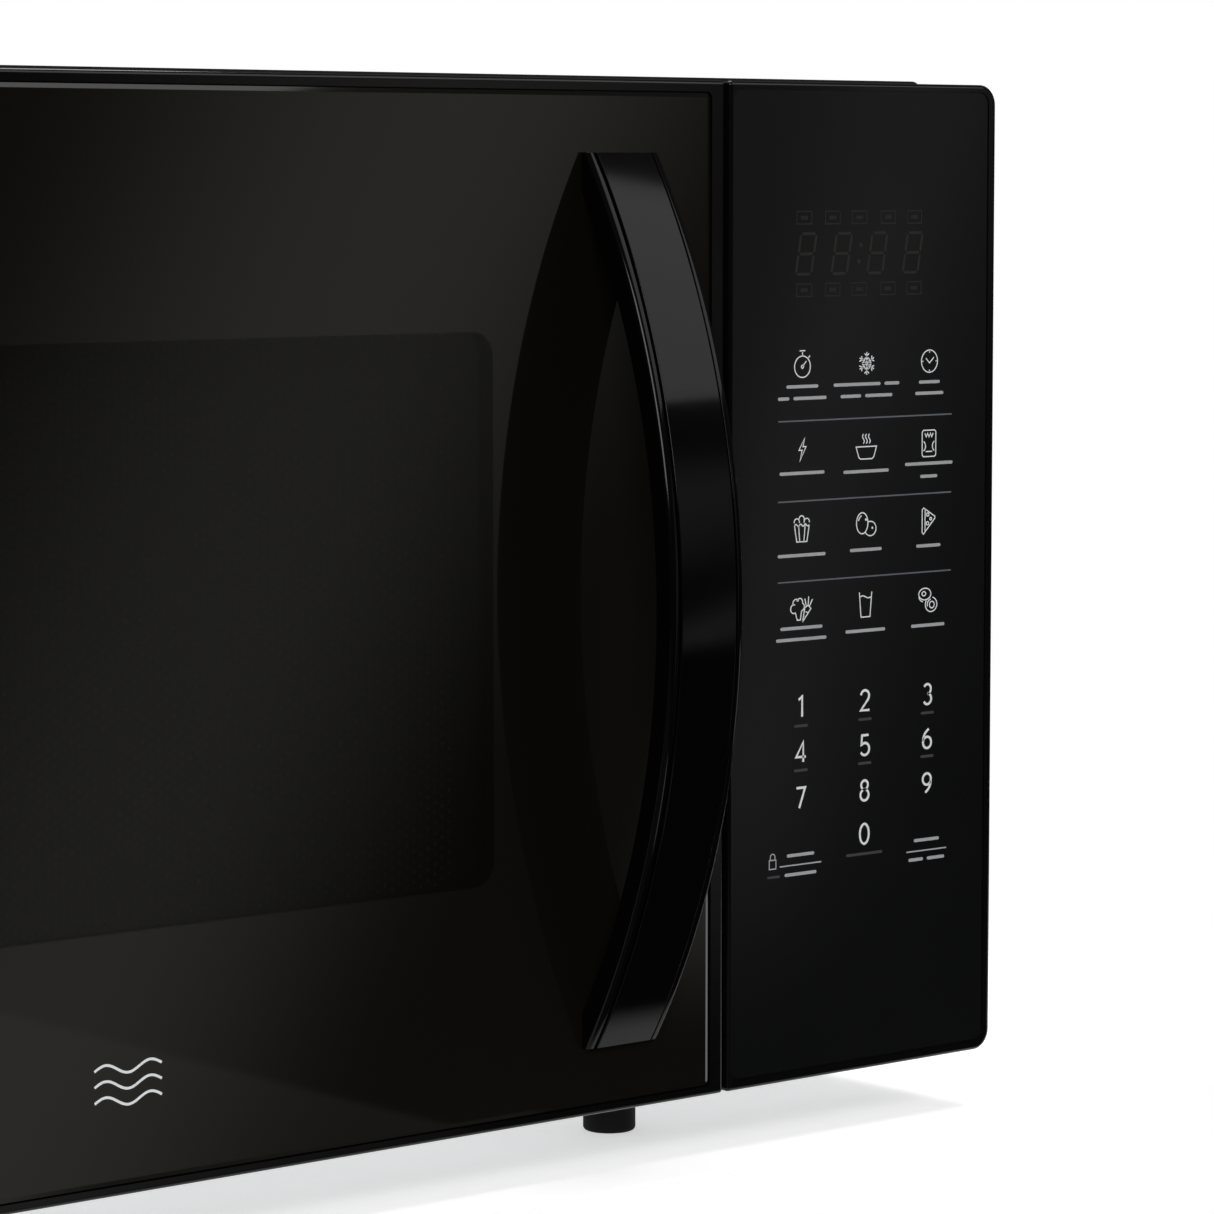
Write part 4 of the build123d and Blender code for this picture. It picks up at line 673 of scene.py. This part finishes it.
def quick_icons():
    """Stopwatch, snowflake and clock."""
    stopwatch = [loop(*ring((0, -0.3), 3.1)), line((0, 2.8), (0, 3.9)),
                 line((-1.1, 4.3), (1.1, 4.3)), line((2.3, 2.2), (2.9, 2.8)),
                 loop(*ring((0, -0.3), 0.45, 8)), line((0.3, 0.0), (1.5, 1.3))]
    clock = [loop(*ring((0, 0), 3.3)), line((-1.5, 0.9), (0, -0.5), (1.8, 1.1))]
    clock += [line((2.5 * cos(a), 2.5 * sin(a)), (2.95 * cos(a), 2.95 * sin(a)))
              for a in (0, pi / 2, pi, 3 * pi / 2)]
    return stopwatch, snowflake(), clock


def power_icons():
    """Bolt, steaming bowl and grilled slice."""
    bolt = [loop((1.0, 3.4), (-1.3, -0.1), (0.0, -0.1), (-0.9, -3.3), (1.5, 0.9), (0.3, 0.9))]
    bowl = [loop((-4.1, 0.0), (4.1, 0.0), (3.8, -0.9), (3.0, -3.1), (2.3, -3.6), (-2.3, -3.6),
                 (-3.0, -3.1), (-3.8, -0.9))]
    bowl += [line(*upright(wave(0.9, 3.7, x, 0.35, 1))) for x in (-1.2, 0, 1.2)]
    grill = [loop((-2.3, -3.9), (2.3, -3.9), (2.8, -3.4), (2.8, 3.4), (2.3, 3.9), (-2.3, 3.9),
                  (-2.8, 3.4), (-2.8, -3.4)),
             line(*zigzag(-1.7, 1.7, 3.0, 1.9, 6)), line((-1.3, -2.4), (1.3, -2.4)),
             line(*arc((-3.0, -0.8), 1.6, -60, 60, 8)), line(*arc((3.0, -0.8), 1.6, 120, 240, 8))]
    return bolt, bowl, grill


def snack_icons():
    """Popcorn, potatoes and pizza slice."""
    popcorn = [line((-2.9, 1.2), (-2.0, -3.6), (2.0, -3.6), (2.9, 1.2)),
               line((-1.3, 1.2), (-0.8, -3.6)), line((1.3, 1.2), (0.8, -3.6)),
               line(*wave(-2.8, 2.8, 1.2, 0.35, 3))]
    popcorn += [line(*arc(centre, 1.05, -10, 190, 8))
                for centre in ((-2.0, 2.1), (-0.1, 2.9), (1.9, 2.1))]
    potatoes = [loop(*ring((-1.5, 0.6), 2.3, 24, 1.35)),
                line(*arc((1.8, -1.1), 2.3, -150, 112, 16, 0.92)),
                line(*arc((-1.5, 0.8), 1.5, 100, 165, 6, 1.35)),
                loop(*ring((0.0, 1.6), 0.2, 6)), loop(*ring((2.6, -0.9), 0.2, 6))]
    pizza = [loop((-2.0, 3.9), (-2.6, 3.4), (-2.6, -3.3), (-2.1, -3.9), (2.6, 0.7), (2.6, 1.3)),
             line((-1.4, 3.5), (-1.4, -3.1)), loop(*ring((-0.3, 1.9), 0.5, 10)),
             loop(*ring((0.9, 0.6), 0.4, 10)), loop(*ring((-0.4, -0.7), 0.5, 10))]
    return popcorn, potatoes, pizza


def meal_icons():
    """Broccoli with a carrot, tumbler and steak."""
    crown = ((-3.0, 0.4, 1.3, 70, 300), (-2.2, 2.0, 1.2, 30, 210), (-0.7, 2.3, 1.1, -20, 170),
             (0.0, 0.9, 1.1, -80, 70))
    greens = [line(*arc((x, z), radius, start, stop, 9)) for x, z, radius, start, stop in crown]
    greens += [line((-2.4, -0.7), (-1.7, -2.9), (-0.4, -2.9), (0.0, -0.2)),
               line((0.4, -3.6), (1.3, 0.6), (2.6, 1.2), (3.7, 0.2), (0.4, -3.6)),
               line((1.6, -0.6), (2.4, -0.9)), line((1.3, -1.9), (1.9, -2.1)),
               line((1.8, 1.2), (1.3, 3.2)), line((2.6, 1.3), (2.8, 3.8)),
               line((3.2, 1.0), (4.3, 2.9))]
    tumbler = [line((-2.5, 3.7), (-1.8, -3.6), (1.8, -3.6), (2.5, 3.7)),
               line(*wave(-2.3, 2.3, 2.3, 0.35, 1))]
    steak = [loop(*ring((-1.3, 1.7), 2.5, 20, 0.70)), loop(*ring((-1.7, 1.8), 0.8, 10, 0.8)),
             line(*arc((-1.3, 1.2), 2.5, 190, 250, 6, 0.75)),
             line(*arc((1.3, -1.5), 2.4, -215, 75, 16, 0.9)), loop(*ring((1.6, -1.6), 1.0, 12)),
             line(*arc((1.4, -1.5), 1.7, 100, 200, 8, 0.9))]
    return greens, tumbler, steak


ICON_ROWS = ((205.5, quick_icons()), (181.2, power_icons()), (158.2, snack_icons()),
             (134.8, meal_icons()))
icons = on_face()
for level, row in ICON_ROWS:
    for column, strokes in zip(COLUMNS, row):
        icons.draw(strokes, THIN, (column, level))
icons.piece("print_icons", "print_bright")


def digit_strokes():
    """Round single-line numerals about their own middle."""
    half = 2.95
    nine = [loop(*ring((0, 1.2), 1.7, 20)), line(*arc((-2.3, 0.9), 4.0, -4, -66, 9))]
    six = [([(-x, -z) for x, z in points], closed) for points, closed in nine]
    return {
        "0": [loop(*ring((0, 0), 1.8, 28, half / 1.8))],
        "1": [line((-1.0, 2.0), (0.4, half), (0.4, -half))],
        "2": [line(*arc((0, 1.3), 1.65, 170, -38, 12), (-1.7, -half), (1.8, -half))],
        "3": [line(*arc((0, 1.5), 1.45, 150, -90, 12)), line(*arc((0, -1.45), 1.6, 90, -150, 14))],
        "4": [line((0.9, -half), (0.9, half), (-1.9, -1.4), (1.9, -1.4))],
        "5": [line((1.5, half), (-1.1, half), (-1.35, 0.2), *arc((0, -1.15), 1.8, 125, -150, 14))],
        "6": six,
        "7": [line((-1.7, half), (1.7, half), (-0.6, -half))],
        "8": [loop(*ring((0, 1.6), 1.35, 20)), loop(*ring((0, -1.35), 1.65, 22))],
        "9": nine,
    }


KEYPAD = ((106.6, "123"), (93.3, "456"), (79.9, "789"), (67.0, " 0 "))
numerals = digit_strokes()
digits = on_face()
for level, row in KEYPAD:
    for column, numeral in zip(COLUMNS, row):
        digits.draw(numerals.get(numeral, ()), MEDIUM, (column, level))
digits.piece("print_digits", "print_bright")

DIVIDER_LENGTH = 69.8
DIVIDER_HEIGHT = 0.42
dividers = on_face()
for level in (189.6, 166.4, 143.1):
    dividers.bar((COLUMNS[1], level), DIVIDER_LENGTH, DIVIDER_HEIGHT)
dividers.piece("print_dividers", "print_line")

LABEL_HEIGHT = 0.95
MINOR_HEIGHT = 0.8
WORD_GAP = 1.6
PADLOCK_PLACE = (16.0, 62.0)
PADLOCK_NOTE = (16.4, 57.6)             # dash below the padlock
LABELS = (                  # column, level, lengths of the words
    (0, 199.5, (12.5,)), (0, 196.1, (4.4, 13.0)), (1, 199.5, (18.8, 6.0)),
    (1, 196.1, (8.2, 11.0)), (2, 199.4, (8.6,)), (2, 196.1, (11.6,)),
    (0, 174.5, (17.6,)), (1, 174.0, (18.2,)), (2, 175.3, (19.6,)), (2, 171.5, (7.0,)),
    (0, 150.7, (18.8,)), (1, 151.0, (12.8,)), (2, 150.9, (10.0,)),
    (0, 129.6, (16.6,)), (0, 126.3, (19.8,)), (1, 127.2, (16.0,)), (2, 127.2, (13.8,)),
    (0, 63.3, (10.8,)), (0, 57.7, (12.6,)), (2, 63.0, (10.4,)), (2, 57.3, (6.0, 7.2)),
)
MINOR_LABELS = [(column, level, (5.4,)) for column in (0, 1, 2) for level in (101.0, 88.0)]
MINOR_LABELS.append((1, 61.1, (14.6,)))


def word_dashes(target, rows, height):
    """Each word is one plain dash."""
    for column, level, words in rows:
        left = COLUMNS[column] - (sum(words) + WORD_GAP * (len(words) - 1)) / 2
        for word in words:
            target.bar((left + word / 2, level), word, height)
            left += word + WORD_GAP


labels = on_face()
word_dashes(labels, LABELS, LABEL_HEIGHT)
labels.piece("print_labels", "print_soft")

minor = on_face()
word_dashes(minor, MINOR_LABELS, MINOR_HEIGHT)
minor.bar(PADLOCK_NOTE, 5.0, 0.7)
minor.piece("print_minor_labels", "print_dim")

KEY_LINE_LENGTH = 16.5
KEY_LINE_HEIGHT = 0.4
PADLOCK_LINE = 0.32
keys = on_face()
for column, level in ((COLUMNS[0], 60.4), (COLUMNS[2], 59.8)):
    keys.bar((column, level), KEY_LINE_LENGTH, KEY_LINE_HEIGHT)
padlock = [loop((-1.3, -2.0), (1.3, -2.0), (1.3, 0.6), (-1.3, 0.6)),
           line((0.9, 0.6), *arc((0, 1.5), 0.9, 0, 180, 8), (-0.9, 0.6))]
keys.draw(padlock, PADLOCK_LINE, PADLOCK_PLACE)
keys.piece("print_key_lines", "print_soft")

# ------------------------------------------------------------------ unlit display behind the face
DISPLAY_LEVEL = 237.6
SLANT = 0.176               # lean of the numerals to the right
SEGMENT_WIDE, SEGMENT_TALL = 3.0, 5.8
SEGMENT_HALF = 0.42
SEGMENT_GAP = 0.28
COLON_X = 49.5
COLON_REACH = 2.4
COLON_RADIUS = 0.7
SYMBOL_RISE = 10.4
SYMBOL_LINE = 0.4
SYMBOL_DASH = 1.1


def segment(target, start, stop, at):
    """One bar of a seven-segment numeral, pointed at both ends and leaning to the right."""
    start, stop = Vector(start), Vector(stop)
    along = (stop - start).normalized()
    across = Vector((-along.y, along.x))
    start = start + along * SEGMENT_GAP
    stop = stop - along * SEGMENT_GAP
    corners = (start, start + along * SEGMENT_HALF + across * SEGMENT_HALF,
               stop - along * SEGMENT_HALF + across * SEGMENT_HALF, stop,
               stop - along * SEGMENT_HALF - across * SEGMENT_HALF,
               start + along * SEGMENT_HALF - across * SEGMENT_HALF)
    target.plate([(at[0] + c.x + SLANT * c.y, at[1] + c.y) for c in corners])


display = on_face()
for column in (28.3, 42.3, 56.5, 70.8):
    at = (column, DISPLAY_LEVEL)
    for side in (-SEGMENT_WIDE, SEGMENT_WIDE):
        segment(display, (side, 0), (side, SEGMENT_TALL), at)
        segment(display, (side, -SEGMENT_TALL), (side, 0), at)
    for level in (-SEGMENT_TALL, 0, SEGMENT_TALL):
        segment(display, (-SEGMENT_WIDE, level), (SEGMENT_WIDE, level), at)
for level in (-COLON_REACH, COLON_REACH):
    display.plate(ring((COLON_X + SLANT * level, DISPLAY_LEVEL + level), COLON_RADIUS, 12))
display.piece("display_segments", "segment_off")

symbols = on_face()
for column in (27.5, 38.7, 49.3, 60.8, 71.4):
    for level in (DISPLAY_LEVEL + SYMBOL_RISE, DISPLAY_LEVEL - SYMBOL_RISE):
        box = [(-2.9, -1.8), (2.9, -1.8), (2.9, 1.8), (-2.9, 1.8)]
        symbols.stroke(box, SYMBOL_LINE, True, (column, level))
        symbols.stroke([(-1.4, 0), (1.4, 0)], SYMBOL_DASH, False, (column, level))
symbols.piece("display_symbols", "symbol_off")

# ------------------------------------------------------------------ plain mark on the door
MARK_INSET = 0.201          # metres from the glass's right edge and above its lower edge
MARK_RISE = 0.0265
MARK_HALF = 10.5
MARK_SWELL = 1.3
MARK_WAVES = 1.5
MARK_STEPS = 36
MARK_LINE = 0.7
mark = Print(Vector((GLASS_HIGH.x - MARK_INSET, GLASS_LOW.y, GLASS_LOW.z + MARK_RISE)))
for level in (-4.2, 0.0, 4.2):
    mark.stroke(wave(-MARK_HALF, MARK_HALF, level, MARK_SWELL, MARK_WAVES, MARK_STEPS), MARK_LINE)
mark.piece("door_mark", "print_bright", "door", "tinted_glass")

# ------------------------------------------------------------------ camera
LENS = 136.83
SENSOR_WIDTH = 36.0
CAMERA_PLACE = (-0.7213, -1.1624, 0.2802)
CAMERA_DOWN = 5.339         # degrees below level
CAMERA_RIGHT = 40.285       # degrees to the right of straight back
camera_data = bpy.data.cameras.new("camera")
camera_data.lens = LENS
camera_data.sensor_width = SENSOR_WIDTH
camera_data.clip_start = 0.01
camera = bpy.data.objects.new("camera", camera_data)
camera.location = CAMERA_PLACE
camera.rotation_euler = (radians(90 - CAMERA_DOWN), 0, radians(-CAMERA_RIGHT))
bpy.context.scene.collection.objects.link(camera)
bpy.context.scene.camera = camera

# ------------------------------------------------------------------ floor
FLOOR_REACH = 1.2
FLOOR_CELLS = 8
FADE_START = 0.03           # metres away from the oven
FADE_STOP = 0.30
FLOOR_FRONT = -0.197        # Y where the paper starts to fade towards the front
FRONT_FADE = 20.0           # how much faster it fades there
SHEET_EDGE_X = (0.110, 0.118)     # right edge of the faint sheet of paper in front of the oven
SHEET_EDGE_Y = (-0.75, -0.50)
SHEET_COVER = 0.09
FLOOR_GLOW = 0.50


def studio_floor():
    """White paper that fades into the white background away from the oven."""
    material = finish("studio_floor", (0.86, 0.86, 0.86), (0.83, 0.83, 0.83), (0.8, 0.9),
                      patch=2.0, grain=60.0, bump=0.0)
    tree = material.node_tree
    shader = tree.nodes["Principled BSDF"]
    across, along = add(tree, "SeparateXYZ", {0: place(tree)}).outputs[:2]
    sideways = calc(tree, "SUBTRACT", calc(tree, "ABSOLUTE", across), CAD_BOX[1][0])
    forward = calc(tree, "MULTIPLY", calc(tree, "SUBTRACT", FLOOR_FRONT, along), FRONT_FADE)
    backward = calc(tree, "SUBTRACT", along, CAD_BOX[1][1])
    away = calc(tree, "MAXIMUM", calc(tree, "MAXIMUM", forward, backward), 0.0)
    distance = length(tree, calc(tree, "MAXIMUM", sideways, 0.0), away)
    paper = spread(tree, distance, 1.0, 0.0, FADE_START, FADE_STOP, "SMOOTHSTEP")
    sheet = calc(tree, "MULTIPLY", spread(tree, across, 1.0, 0.0, *SHEET_EDGE_X),
                 spread(tree, along, 0.0, SHEET_COVER, *SHEET_EDGE_Y))
    put(tree, shader, "Alpha", calc(tree, "MAXIMUM", paper, sheet))
    put(tree, shader, "Emission Color", rgb((1.0, 1.0, 1.0)))
    put(tree, shader, "Emission Strength", FLOOR_GLOW)
    return material


floor_bm = bmesh.new()
bmesh.ops.create_grid(floor_bm, x_segments=FLOOR_CELLS, y_segments=FLOOR_CELLS, size=FLOOR_REACH)
floor_mesh = bpy.data.meshes.new("floor")
floor_bm.to_mesh(floor_mesh)
floor_bm.free()
floor = bpy.data.objects.new("floor", floor_mesh)
floor.location.z = CAD_BOX[0][2]
bpy.context.scene.collection.objects.link(floor)
floor_mesh.materials.append(studio_floor())

# ------------------------------------------------------------------ walls of the studio
ROOM_BASE = 0.025           # light from everywhere
ROOM_ABOVE = 0.10           # more light from above
ROOM_TINT = (1.0, 0.985, 0.955)

world = bpy.data.worlds.new("studio")
bpy.context.scene.world = world
world.use_nodes = True
sky = world.node_tree
heading = sky.nodes.new("ShaderNodeTexCoord").outputs["Generated"]
east, north, up = add(sky, "SeparateXYZ", {0: heading}).outputs
turn = calc(sky, "ARCTAN2", east, calc(sky, "MULTIPLY", north, -1.0))
rise = calc(sky, "ARCSINE", up)
elevation = calc(sky, "DEGREES", rise)


def within(value, start, full, fading, stop):
    """1 between full and fading, smoothly down to 0 at start and at stop."""
    entered = spread(sky, value, 0.0, 1.0, start, full, "SMOOTHSTEP")
    left = spread(sky, value, 0.0, 1.0, fading, stop, "SMOOTHSTEP")
    return calc(sky, "MULTIPLY", entered, calc(sky, "SUBTRACT", 1.0, left))


def wall_panel(lean, turns, heights, strength):
    """A leaning panel of soft light; turns from the front and heights in degrees."""
    across = calc(sky, "SUBTRACT", turn, calc(sky, "MULTIPLY", rise, lean))
    lit = calc(sky, "MULTIPLY", within(calc(sky, "DEGREES", across), *turns),
               within(elevation, *heights))
    return calc(sky, "MULTIPLY", lit, strength)


# two tall panels that the door mirrors, then two low ones for the edges and the handle's foot
left_panel = wall_panel(0.46, (32.2, 37.8, 38.2, 42.6), (-20.0, -13.0, 8.0, 14.0), 0.47)
right_panel = wall_panel(0.25, (42.6, 43.6, 43.8, 45.1), (-10.8, -7.8, 8.0, 14.0), 0.74)
low_panel = wall_panel(0.0, (51.0, 55.0, 66.0, 70.0), (-20.0, -17.0, -9.0, -8.6), 2.5)
foot_panel = wall_panel(0.0, (18.0, 22.0, 32.0, 38.0), (-36.0, -33.0, -25.0, -22.0), 2.5)
panels = calc(sky, "ADD", calc(sky, "ADD", left_panel, right_panel),
              calc(sky, "ADD", low_panel, foot_panel))
above = calc(sky, "MULTIPLY", spread(sky, elevation, 0.0, 1.0, -10.0, 30.0, "SMOOTHSTEP"),
             ROOM_ABOVE)
shine = calc(sky, "ADD", panels, calc(sky, "ADD", above, ROOM_BASE))
tinted = {axis: calc(sky, "MULTIPLY", shine, share) for axis, share in enumerate(ROOM_TINT)}
room = add(sky, "CombineColor", tinted).outputs[0]
seen = add(sky, "LightPath", {}).outputs["Is Camera Ray"]
background = sky.nodes["Background"]
put(sky, background, "Color", mix(sky, seen, room, rgb((1.0, 1.0, 1.0))))
put(sky, background, "Strength", 1.0)


# ------------------------------------------------------------------ lights
def soft_light(name, location, target, size, power):
    """A rectangular soft light aimed at a point."""
    data = bpy.data.lights.new(name, "AREA")
    data.shape = "RECTANGLE"
    data.size, data.size_y = size
    data.energy = power
    lamp = bpy.data.objects.new(name, data)
    lamp.location = location
    aim = Vector(target) - Vector(location)
    lamp.rotation_euler = aim.to_track_quat("-Z", "Y").to_euler()
    bpy.context.scene.collection.objects.link(lamp)


soft_light("key", (-1.7, -2.3, 1.3), (0.0, 0.0, 0.15), (1.4, 1.4), 60.0)
soft_light("top", (0.2, 0.5, 2.2), (0.1, 0.1, 0.0), (2.2, 2.2), 70.0)
soft_light("right_high", (1.23, -1.47, 1.39), (0.112, -0.2, 0.2), (1.0, 1.22), 8.4)

bpy.context.scene.view_settings.view_transform = "Standard"
bpy.context.scene.view_settings.look = "None"
